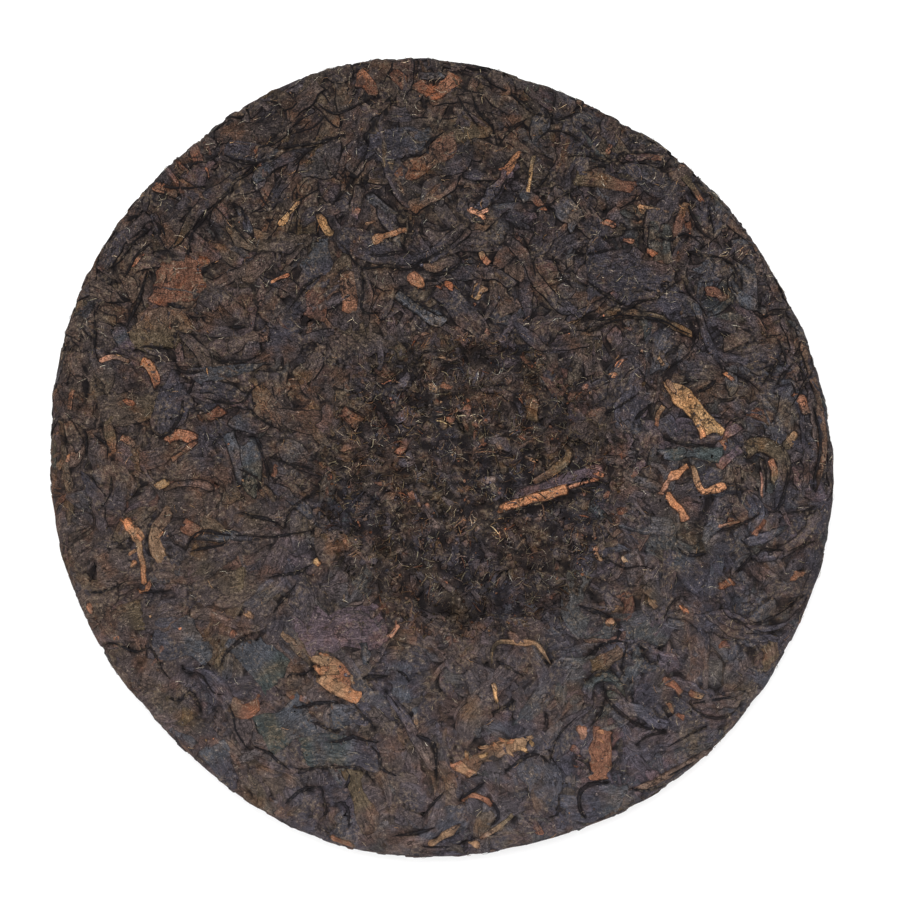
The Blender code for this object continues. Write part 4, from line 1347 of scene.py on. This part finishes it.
def squeeze(bed, x, y, relief):
    """Relief as the press leaves it."""
    most = MOST_PROUD
    if bed.face == KNOT_FACE:
        most = MOST_PROUD + (MOST_PROUD_IN_DIMPLE - MOST_PROUD) * inside_dimple(x, y)
    proud = most * (1 - np.exp(-np.maximum(relief, 0) / most))
    return proud - MOST_DEEP * (1 - np.exp(np.minimum(relief, 0) / MOST_DEEP))


def pressed_height(bed, x, y, height, sunk=1.0):
    """A point's height after the press, sunk by a share of the crease that it lies in."""
    return squeeze(bed, x, y, height - bed.at(x, y, bed.level)) - sunk * bed.at(x, y, bed.creased)


for bed in (knot_bed, dome_bed):
    bed.level = bed.smoothed(bed.height, PRESS_WINDOW)
    bed.pressed = squeeze(bed, bed.x, bed.y, bed.height - bed.level) - bed.creased
    bed.wide_mean, bed.near_mean = bed.smoothed(bed.pressed, 5.0), bed.smoothed(bed.pressed, 1.6)
    print(f"The pressed {bed.face} runs from {bed.pressed.min():.2f} to {bed.pressed.max():.2f} mm")

# %% [markdown]
# Leaves that ended up wholly under others are thrown away. The rest become one mesh for each kind, with
# their colour, grain and edge written on every point, and how deep it lies in a hollow.

# %% From laid leaves to meshes
SOFT_FLOOR = 0.6  # below this height the pile is pressed against the table, ever harder
# The strip in a crack is painted shade.
SHADE_SLIVER_SUNK = 0.2  # a crack's sliver sinks less than what is round it, so it shows


def rest_on_table(points):
    """Presses what would go through the table against it, without changing the order of heights."""
    height = points[..., 2]
    low = SOFT_FLOOR * np.exp((np.minimum(height, SOFT_FLOOR) - SOFT_FLOOR) / SOFT_FLOOR)
    points[..., 2] = np.where(height < SOFT_FLOOR, low, height)
    return points


# The finish paints shade from this where it is above 0, and lightens ridges below 0, partly as wear and
# partly as painted highlight.
def hollow_at(bed, x, y, height):
    """From -1 on a ridge to 1 in a hollow: how far a point lies below what is near it."""
    near = (bed.at(x, y, bed.near_mean) - height) / 0.6
    wide = (bed.at(x, y, bed.wide_mean) - height) / 1.1
    return np.clip(0.6 * near + 0.6 * wide, -1, 1)


def ring_triangles(rings, around):
    """Triangles of a closed tube whose first and last rings are drawn together."""
    ring, step = np.meshgrid(np.arange(rings - 1), np.arange(around), indexing="ij")
    here, beside = ring * around + step, ring * around + (step + 1) % around
    first = np.stack([here, here + around, beside], -1).reshape(-1, 3)
    return np.concatenate([first, np.stack([beside, here + around, beside + around], -1).reshape(-1, 3)])


def new_piece(name, points, triangles, colour, grain, edge, hollow, finish):
    """A piece in the scene, with what the finish reads written on its points."""
    mesh = bpy.data.meshes.new(name)
    mesh.vertices.add(len(points))
    mesh.vertices.foreach_set("co", (points * METRE).astype(np.float32).ravel())
    mesh.loops.add(3 * len(triangles))
    mesh.loops.foreach_set("vertex_index", triangles.astype(np.int32).ravel())
    mesh.polygons.add(len(triangles))
    mesh.polygons.foreach_set("loop_start", np.arange(0, 3 * len(triangles), 3, dtype=np.int32))
    mesh.polygons.foreach_set("use_smooth", np.ones(len(triangles), bool))
    mesh.update(calc_edges=True)
    for attribute, form, field, values in (
        ("leaf_colour", "FLOAT_COLOR", "color", np.hstack([colour, np.ones((len(points), 1))])),
        ("grain", "FLOAT_VECTOR", "vector", grain),
        ("edge", "FLOAT", "value", edge),
        ("hollow", "FLOAT", "value", hollow),
    ):
        layer = mesh.attributes.new(attribute, form, "POINT")
        layer.data.foreach_set(field, np.ascontiguousarray(values, np.float32).ravel())
    mesh.materials.append(finish)
    piece = bpy.data.objects.new(name, mesh)
    bpy.context.scene.collection.objects.link(piece)
    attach(piece, "root")
    print(f"{name}: {len(triangles):,} triangles")
    return piece


def meshed(bed, leaf):
    """A leaf's pressed points, triangles and what is written on its points."""
    sunk = SHADE_SLIVER_SUNK if leaf.section == "shade_sliver" else 1.0
    height = pressed_height(bed, leaf.x, leaf.y, leaf.height, sunk)
    points = rest_on_table(skin(bed.face, leaf.x, leaf.y, height)).reshape(-1, 3)
    triangles = ring_triangles(*leaf.x.shape)
    if bed.face == DOME_FACE:
        triangles = triangles[:, ::-1]
    hollow = hollow_at(bed, leaf.x, leaf.y, height).ravel()
    return points, triangles, leaf.colour.reshape(-1, 3), leaf.grain.reshape(-1, 3), leaf.edge.ravel(), hollow


def joined(name, parts, finish):
    """One piece from many small bodies."""
    starts = np.cumsum([0, *(len(part[0]) for part in parts)])
    columns = [np.concatenate(column) for column in zip(*parts)]
    columns[1] = np.concatenate([part[1] + start for part, start in zip(parts, starts)])
    return new_piece(name, *columns, finish)


# %% [markdown]
# Finishes are written as sums. A small class wraps a shader socket, so that `1 - mask` or `mask * 0.4` adds
# the Math node for it, and one method makes every other node.

# %% A kit for finishes
class Socket:
    """A value in a material's node tree that can be used in sums."""

    def __init__(self, finish, socket):
        self.finish, self.socket = finish, socket

    def maths(self, operation, *values):
        return self.finish.node("ShaderNodeMath", {"operation": operation}, dict(enumerate(values)))

    def __add__(self, other):
        return self.maths("ADD", self, other)

    def __sub__(self, other):
        return self.maths("SUBTRACT", self, other)

    def __rsub__(self, other):
        return self.maths("SUBTRACT", other, self)

    def __mul__(self, other):
        return self.maths("MULTIPLY", self, other)

    def __abs__(self):
        return self.maths("ABSOLUTE", self)

    __radd__, __rmul__ = __add__, __mul__


class Finish:
    """A material whose nodes are made by calls."""

    def __init__(self, name):
        self.material = bpy.data.materials.new(name)
        self.material.use_nodes = True
        self.tree = self.material.node_tree
        self.shader = self.tree.nodes["Principled BSDF"]

    def node(self, form, settings=None, inputs=None, output=0):
        made = self.tree.nodes.new(form)
        for name, value in (settings or {}).items():
            setattr(made, name, value)
        for name, value in (inputs or {}).items():
            self.feed(made.inputs[name], value)
        return Socket(self, made.outputs[output])

    def feed(self, socket, value):
        """Links a socket, or sets a constant on it."""
        if isinstance(value, Socket):
            self.tree.links.new(value.socket, socket)
        else:
            socket.default_value = value

    def written(self, name, output="Fac"):
        """What the mesh has written on its points under a name."""
        return self.node("ShaderNodeAttribute", {"attribute_name": name}, output=output)

    def noise(self, place, scale, detail=2.0, roughness=0.5):
        inputs = {"Vector": place, "Scale": scale, "Detail": detail, "Roughness": roughness}
        return self.node("ShaderNodeTexNoise", {"noise_dimensions": "3D"}, inputs, "Fac")

    def between(self, value, low, high):
        """A soft step from 0 at the low value to 1 at the high one."""
        settings = {"interpolation_type": "SMOOTHSTEP"}
        return self.node("ShaderNodeMapRange", settings, {0: value, 1: low, 2: high})

    def blend(self, share, first, second, how="MIX"):
        """Two colours mixed, or with `how` as MULTIPLY, multiplied."""
        settings = {"data_type": "RGBA", "blend_type": how}
        return self.node("ShaderNodeMix", settings, {0: share, 6: first, 7: second}, 2)

    def grey(self, value):
        return self.node("ShaderNodeCombineColor", None, {0: value, 1: value, 2: value})

    def stretched(self, place, scale):
        return self.node("ShaderNodeVectorMath", {"operation": "MULTIPLY"}, {0: place, 1: scale})


# %% [markdown]
# The leaf's own finish is matt and slightly furry. Long wrinkles follow the grain, a broad mottle makes each
# leaf uneven, and fine fur breaks up the light. Dust and broken hairs settle as pale flecks. Shade is painted
# into the colour too: darker wrinkle valleys, near black in hollows, thin creases and the crevice round a
# leaf, and a painted highlight, partly wear, on ridges. The crevice's painted shade is dark where the edge is
# clear, and fades out where pressing has closed the joint.

# %% The finish of leaf
# Near black of the painted shade in hollows, creases and crevices
PAINTED_SHADE_TINT = (0.007, 0.0055, 0.006, 1)
FLECK_TINT = (0.34, 0.27, 0.21, 1)
POWDER_TINT = (0.135, 0.098, 0.066, 1)
WARM_TINT = (1.38, 1.0, 0.66, 1)
COOL_TINT = (0.93, 0.98, 1.0, 1)
RELIEF_DEPTH = 0.0004  # in metres
LOOSE_FROM_TO = (-0.09, 0.05)  # where the fur and the creases fade in, up the picture, in metres


def leaf_finish(name, wrinkles=1.0, fur=1.0, flecks=1.0, rough=0.74):
    finish = Finish(name)
    colour, grain = finish.written("leaf_colour", "Color"), finish.written("grain", "Vector")
    hollow, edge = finish.written("hollow"), finish.written("edge")
    place = finish.node("ShaderNodeTexCoord", output="Object")

    # along the leaf's own grain
    wrinkle = finish.noise(finish.stretched(grain, (0.2, 1.5, 1.0)), 1.0, 4.0, 0.62)
    vein = finish.noise(finish.stretched(grain, (0.55, 4.2, 1.0)), 1.0, 2.0, 0.55)
    crack = 1 - finish.between(abs(wrinkle - 0.5), 0.0, 0.022)
    # all over the cake, from patches 7 mm across down to fur of a third of a millimetre
    warm = finish.noise(place, 150, 3.0, 0.6)
    mottle = finish.noise(place, 240, 4.0, 0.6)
    scuff = finish.noise(place, 1000, 3.0, 0.7)
    pelt = finish.noise(place, 3000, 2.0, 0.6)
    loose = finish.between(finish.node("ShaderNodeSeparateXYZ", None, {0: place}, 1), *LOOSE_FROM_TO)

    shade = 0.72 + 0.56 * finish.between(mottle, 0.3, 0.7)
    # painted shade: wrinkle valleys darker than their ridges, and a dark line (crack) painted along each
    # wrinkle's fold
    shade = shade * (0.8 + 0.4 * finish.between(wrinkle, 0.3, 0.7))
    shade = shade * (1 + (finish.between(pelt, 0.33, 0.67) - 0.5) * (0.5 + 0.85 * loose) * fur)
    shade = shade * (0.8 + 0.4 * finish.between(scuff, 0.3, 0.7)) * (1 - 0.45 * wrinkles * crack)
    # painted highlight, partly wear: ridges are made up to 60% lighter
    shade = shade * (1 + 0.6 * finish.between(0 - hollow, 0.0, 0.9))
    bright = finish.between(finish.node("ShaderNodeSeparateColor", None, {0: colour}, 0), 0.09, 0.2)
    warm_tone = finish.blend(1.0, colour, WARM_TINT, "MULTIPLY")
    cool_tone = finish.blend(1.0, colour, COOL_TINT, "MULTIPLY")
    warm_tone = finish.blend(0.45 + 0.25 * loose - 0.4 * bright, colour, warm_tone)
    warmed = finish.blend(finish.between(warm, 0.46, 0.66), cool_tone, warm_tone)
    toned = finish.blend(1.0, warmed, finish.grey(shade), "MULTIPLY")

    dusty_place = finish.between(finish.noise(place, 130, 3.0, 0.6), 0.42, 0.66)
    powder = finish.between(scuff, 0.46, 0.62) * dusty_place
    powdered = finish.blend(powder * (0.5 * flecks), toned, POWDER_TINT)
    fleck = finish.between(scuff, 0.59, 0.69) * finish.between(pelt, 0.48, 0.62) * (0.55 * flecks)
    dusted = finish.blend(fleck, powdered, FLECK_TINT)

    # painted shade along thin wavy creases, and in a leaf's crevice where the joint is open
    crease = 1 - finish.between(abs(finish.noise(place, 210, 2.5, 0.6) - 0.5), 0.005, 0.019)
    creased_place = finish.between(finish.noise(place, 95, 2.0, 0.5), 0.44, 0.52)
    crease = crease * creased_place * (0.6 + 0.3 * loose) * wrinkles
    open_joint = finish.between(finish.noise(place, 150, 2.0, 0.6), 0.36, 0.47)
    frayed = edge + 0.6 * (finish.noise(place, 420, 3.0, 0.6) - 0.5)
    crevice = finish.between(frayed, 0.26, 0.5) * (0.15 + 0.85 * open_joint) * (0.45 + 0.55 * loose)
    # painted shade: near black blended in where a point lies in a hollow, a crease or a crevice
    final = dusted
    for share in (finish.between(hollow, 0.06, 0.8) * 0.92, crease, crevice):
        final = finish.blend(share, final, PAINTED_SHADE_TINT)

    relief = wrinkle * wrinkles + vein * (0.25 * wrinkles) + pelt * (0.3 * fur)
    relief = relief + scuff * 0.4 - crack * (0.2 * wrinkles)
    inputs = {"Strength": 1.0, "Distance": RELIEF_DEPTH, "Height": relief}
    bump = finish.node("ShaderNodeBump", None, inputs, "Normal")
    finish.feed(finish.shader.inputs["Base Color"], final)
    finish.feed(finish.shader.inputs["Roughness"], rough + 0.2 * finish.between(mottle, 0.3, 0.7))
    finish.feed(finish.shader.inputs["Normal"], bump)
    finish.shader.inputs["Specular IOR Level"].default_value = 0.1
    return finish.material


leaf_material = leaf_finish("pressed_leaf")
rope_material = leaf_finish("rolled_leaf", wrinkles=1.2)
crumb_material = leaf_finish("tea_dust", wrinkles=0.2, fur=1.3, flecks=1.5, rough=0.8)

# %% [markdown]
# A leaf that still owns some squares of its bed is kept. Ropes and twisted leaves get deeper wrinkles.

# %% The leaves as pieces
by_kind = {}
LEAST_SHOWN = 11  # squares of the bed that a leaf must still own to be kept
for bed in (knot_bed, dome_bed):
    owned = np.bincount(bed.owner[bed.owner >= 0].ravel(), minlength=len(bed.leaves))
    for leaf, squares in zip(bed.leaves, owned):
        if squares >= LEAST_SHOWN:
            kind = "underside" if bed.face == DOME_FACE and leaf.section == "flat" else leaf.section
            by_kind.setdefault(kind, []).append(meshed(bed, leaf))
for kind, parts in by_kind.items():
    material = rope_material if kind in ("rolled", "twisted") else leaf_material
    joined(f"{kind}_leaves", parts, material)

# %% [markdown]
# Under the leaves lies the body of the cake. It shows in the crevices and between the dimple's flakes, so
# it takes the same pressed surface, on rings of points that are about a millimetre apart.

# %% The body of the cake
CORE_RINGS = 84
CORE_SINK = 0.3
CORE_LEAST_SINK = 0.12


def disc(rings):
    """Rings of points whose k-th has 6k of them, as shares of the radius, and the triangles between them."""
    x, y, triangles = [0.0], [0.0], []
    first_inner = 0
    for ring in range(1, rings + 1):
        angle = math.tau * np.arange(6 * ring) / (6 * ring)
        first_outer = len(x)
        x += list(ring / rings * np.cos(angle))
        y += list(ring / rings * np.sin(angle))
        inner_count = max(6 * (ring - 1), 1)
        for side in range(6):
            for step in range(ring):
                outer = side * ring + step
                inner = first_inner + (side * (ring - 1) + step) % inner_count
                outer_next = first_outer + (outer + 1) % (6 * ring)
                triangles.append((inner, first_outer + outer, outer_next))
                if step < ring - 1:
                    inner_next = first_inner + (side * (ring - 1) + step + 1) % inner_count
                    triangles.append((inner, outer_next, inner_next))
        first_inner = first_outer
    return np.array(x), np.array(y), np.array(triangles)


def core_face(bed, reach):
    """One face of the body: the pressed surface, lowered so that no leaf is lost in it."""
    x, y = disc_x * reach, disc_y * reach
    height = 0.6 * pressed_height(bed, x, y, bed.at(x, y)) + bed.at(x, y, bed.bare) - CORE_SINK
    height = np.minimum(height, pressed_height(bed, x, y, bed.at(x, y)) - CORE_LEAST_SINK)
    return x, y, rest_on_table(skin(bed.face, x, y, height)), hollow_at(bed, x, y, height)


disc_x, disc_y, disc_triangles = disc(CORE_RINGS)
rim_count = 6 * CORE_RINGS
knot_x, knot_y, knot_points, knot_hollow = core_face(knot_bed, RIM_WALK)
dome_x, dome_y, dome_points, dome_hollow = core_face(dome_bed, DOME_REACH)
inner = len(dome_points) - rim_count
dome_own, dome_rim = np.arange(inner) + len(knot_points), np.arange(rim_count) + len(knot_points) - rim_count
dome_index = np.concatenate([dome_own, dome_rim])
core_x, core_y = np.concatenate([knot_x, dome_x[:inner]]), np.concatenate([knot_y, dome_y[:inner]])
core = new_piece(
    "body_of_the_cake",
    np.concatenate([knot_points, dome_points[:inner]]),
    np.concatenate([disc_triangles, dome_index[disc_triangles][:, ::-1]]),
    place_tone(core_x, core_y) * 0.8,
    np.stack([core_x, core_y, 0 * core_x], axis=-1),
    0 * core_x,
    np.concatenate([knot_hollow, dome_hollow[:inner]]),
    crumb_material,
)
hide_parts("tea_cake")

# %% [markdown]
# Crumbs are what the leaves lost when they were broken up: angular specks a third of a millimetre to a
# millimetre across. Each is an icosahedron whose corners are pulled about. They fill the dimple, and a few
# lie scattered over the rest of the knot face.

# %% Crumbs
GOLDEN = (1 + math.sqrt(5)) / 2
CRUMB_CORNERS = np.array(
    [(-1, GOLDEN, 0), (1, GOLDEN, 0), (-1, -GOLDEN, 0), (1, -GOLDEN, 0), (0, -1, GOLDEN), (0, 1, GOLDEN),
     (0, -1, -GOLDEN), (0, 1, -GOLDEN), (GOLDEN, 0, -1), (GOLDEN, 0, 1), (-GOLDEN, 0, -1), (-GOLDEN, 0, 1)]
) / math.hypot(1, GOLDEN)
CRUMB_TRIANGLES = np.array(
    [(0, 11, 5), (0, 5, 1), (0, 1, 7), (0, 7, 10), (0, 10, 11), (1, 5, 9), (5, 11, 4), (11, 10, 2),
     (10, 7, 6), (7, 1, 8), (3, 9, 4), (3, 4, 2), (3, 2, 6), (3, 6, 8), (3, 8, 9), (4, 9, 5), (2, 4, 11),
     (6, 2, 10), (8, 6, 7), (9, 8, 1)]
)
CRUMB_MIX = {
    "soot": 22, "coal": 24, "earth": 20, "umber": 14, "olive": 8, "bark": 9, "russet": 5, "rust": 1, "tan": 1,
}


def scattered(count, centre, reach, draw):
    """Random places over a round patch of a face."""
    angle, radius = draw.uniform(0, math.tau, count), reach * np.sqrt(draw.random(count))
    return centre[0] + radius * np.cos(angle), centre[1] + radius * np.sin(angle)


def turned(points, draw):
    """Points turned to a random attitude."""
    turn, _ = np.linalg.qr(draw.normal(size=(3, 3)))
    return points @ (turn * np.sign(np.linalg.det(turn)))


def crumb(bed, x, y, size, draw):
    """A crumb's points, triangles and what is written on its points."""
    corners = CRUMB_CORNERS * (1 + 0.28 * draw.normal(size=(12, 1))) * size * draw.uniform(0.35, 1.0, 3)
    height = bed.at(x, y, bed.pressed) + 0.25 * size
    middle = skin(bed.face, np.array([x]), np.array([y]), np.array([height]))
    points = rest_on_table(turned(corners, draw) + middle)
    tone = LINEAR[pick(CRUMB_MIX, draw)] * draw.uniform(0.7, 1.25) * felt_tone_and_shade(x, y)
    grain = corners + draw.uniform(0, 500, 3)
    return points, CRUMB_TRIANGLES, np.tile(tone, (12, 1)), grain, np.zeros(12), np.zeros(12)


crumbs = []
crumb_draw = np.random.default_rng(SEED + 3)
for count, centre, reach in ((2300, DIMPLE_CENTRE, DIMPLE_RADIUS), (900, (0, 0), RIM_WALK - 7)):
    for x, y in zip(*scattered(count, centre, reach, crumb_draw)):
        crumbs.append(crumb(knot_bed, x, y, 0.2 + 0.45 * crumb_draw.random() ** 2, crumb_draw))
joined("crumbs", crumbs, crumb_material)

# %% [markdown]
# Buds and young stems leave pale hairs and fibres on the cake. Each is a thin closed tube that arches a
# little off the surface. They are what gives the cake its dusty, hairy look up close.

# %% Fibres
FIBRE_SIDES = 3
FIBRE_STATIONS = 5
HAIR_MIX = {"hair": 7, "straw": 6, "tan": 2, "gold": 1, "ash": 3}
SHRED_MIX = {"soot": 6, "coal": 6, "earth": 6, "umber": 6, "bark": 5, "olive": 5, "russet": 2, "straw": 2}


def fibre(bed, x, y, length, radius, mix, draw):
    """A fibre's points, triangles and what is written on its points."""
    route = curved_route(x, y, length, draw.uniform(0, 7), draw.normal() * 0.8, draw.uniform(0, 0.5), draw)
    place = np.linspace(0, 20, FIBRE_STATIONS)
    px, py = (np.interp(place, range(21), route[:, axis]) for axis in (0, 1))
    share = place / 20
    below, arch = bed.at(px, py, bed.pressed), draw.uniform(0, 0.3) * 4 * share * (1 - share)
    height = np.maximum(below * 0.6 + 0.4 * bed.at(x, y, bed.pressed), below) + radius + arch
    middle = skin(bed.face, px, py, height)
    tangent = np.gradient(middle, axis=0)
    tangent /= np.linalg.norm(tangent, axis=1, keepdims=True)
    side = np.cross(tangent, (0.02, 0.03, 1))
    side /= np.linalg.norm(side, axis=1, keepdims=True)
    over = np.cross(side, tangent)
    thick = radius * np.array([0.0, *([1.0] * (FIBRE_STATIONS - 2)), 0.0])[:, None, None]
    angle = np.arange(FIBRE_SIDES) * math.tau / FIBRE_SIDES
    ring = np.cos(angle)[None, :, None] * side[:, None, :] + np.sin(angle)[None, :, None] * over[:, None, :]
    points = rest_on_table(middle[:, None, :] + thick * ring).reshape(-1, 3)
    triangles, zeros = ring_triangles(FIBRE_STATIONS, FIBRE_SIDES), np.zeros(len(points))
    tone = LINEAR[pick(mix, draw)] * draw.uniform(0.6, 1.3) * felt_tone_and_shade(x, y)
    return points, triangles, np.tile(tone, (len(points), 1)), points * 0.2, zeros, zeros


fibres = []
fibre_draw = np.random.default_rng(SEED + 4)
for count, centre, reach, mix, thick in (
    (1500, DIMPLE_CENTRE, DIMPLE_RADIUS, SHRED_MIX, 0.12),
    (1500, DIMPLE_CENTRE, DIMPLE_RADIUS, HAIR_MIX, 0.04),
    (3800, (0, 0), RIM_WALK, HAIR_MIX, 0.04),
):
    for x, y in zip(*scattered(count, centre, reach, fibre_draw)):
        kept = looseness(x, y) if reach == RIM_WALK else 0.6 + 0.8 * felt_places(y, x)
        if fibre_draw.random() > kept:
            continue
        size, length = thick * fibre_draw.uniform(0.7, 1.8), fibre_draw.uniform(0.6, 2.6) + 10 * thick
        fibres.append(fibre(knot_bed, x, y, length, size, mix, fibre_draw))
joined("fibres", fibres, crumb_material)

# %% [markdown]
# The setting is a plain white table under a wide soft light from the top of the picture, with light from
# all round to open the shadows.

# %% Table, light and the white around
FLOOR_SIZE = 6.0
FLOOR_WHITE = (0.95, 0.95, 0.95, 1)
ROOM_LIGHT = 1.25
table = bpy.data.objects.new("table", bpy.data.meshes.new("table"))
corners = np.array([(-1, -1, 0), (1, -1, 0), (1, 1, 0), (-1, 1, 0)]) * FLOOR_SIZE / 2
table.data.from_pydata(corners.tolist(), [], [(0, 1, 2, 3)])
bpy.context.scene.collection.objects.link(table)
paper = Finish("white_table")
paper.shader.inputs["Base Color"].default_value = FLOOR_WHITE
paper.shader.inputs["Roughness"].default_value = 0.9
table.data.materials.append(paper.material)

world = bpy.data.worlds.new("white_room")
bpy.context.scene.world = world
world.use_nodes = True
world.node_tree.nodes["Background"].inputs["Color"].default_value = (1, 1, 1, 1)
world.node_tree.nodes["Background"].inputs["Strength"].default_value = ROOM_LIGHT


def soft_light(name, place, size, power):
    """A round lamp that faces the cake."""
    lamp = bpy.data.lights.new(name, "AREA")
    lamp.shape = "DISK"
    lamp.size = size
    lamp.energy = power
    light = bpy.data.objects.new(name, lamp)
    bpy.context.scene.collection.objects.link(light)
    light.location = place
    away = np.array(place) / np.linalg.norm(place)
    light.rotation_euler = (math.acos(away[2]), 0, math.atan2(away[0], -away[1]))


soft_light("window", (-0.1, 0.35, 1.7), 1.4, 20)
bpy.context.scene.view_settings.view_transform = "Standard"
print("The white room is set, and the light comes from the top of the picture")
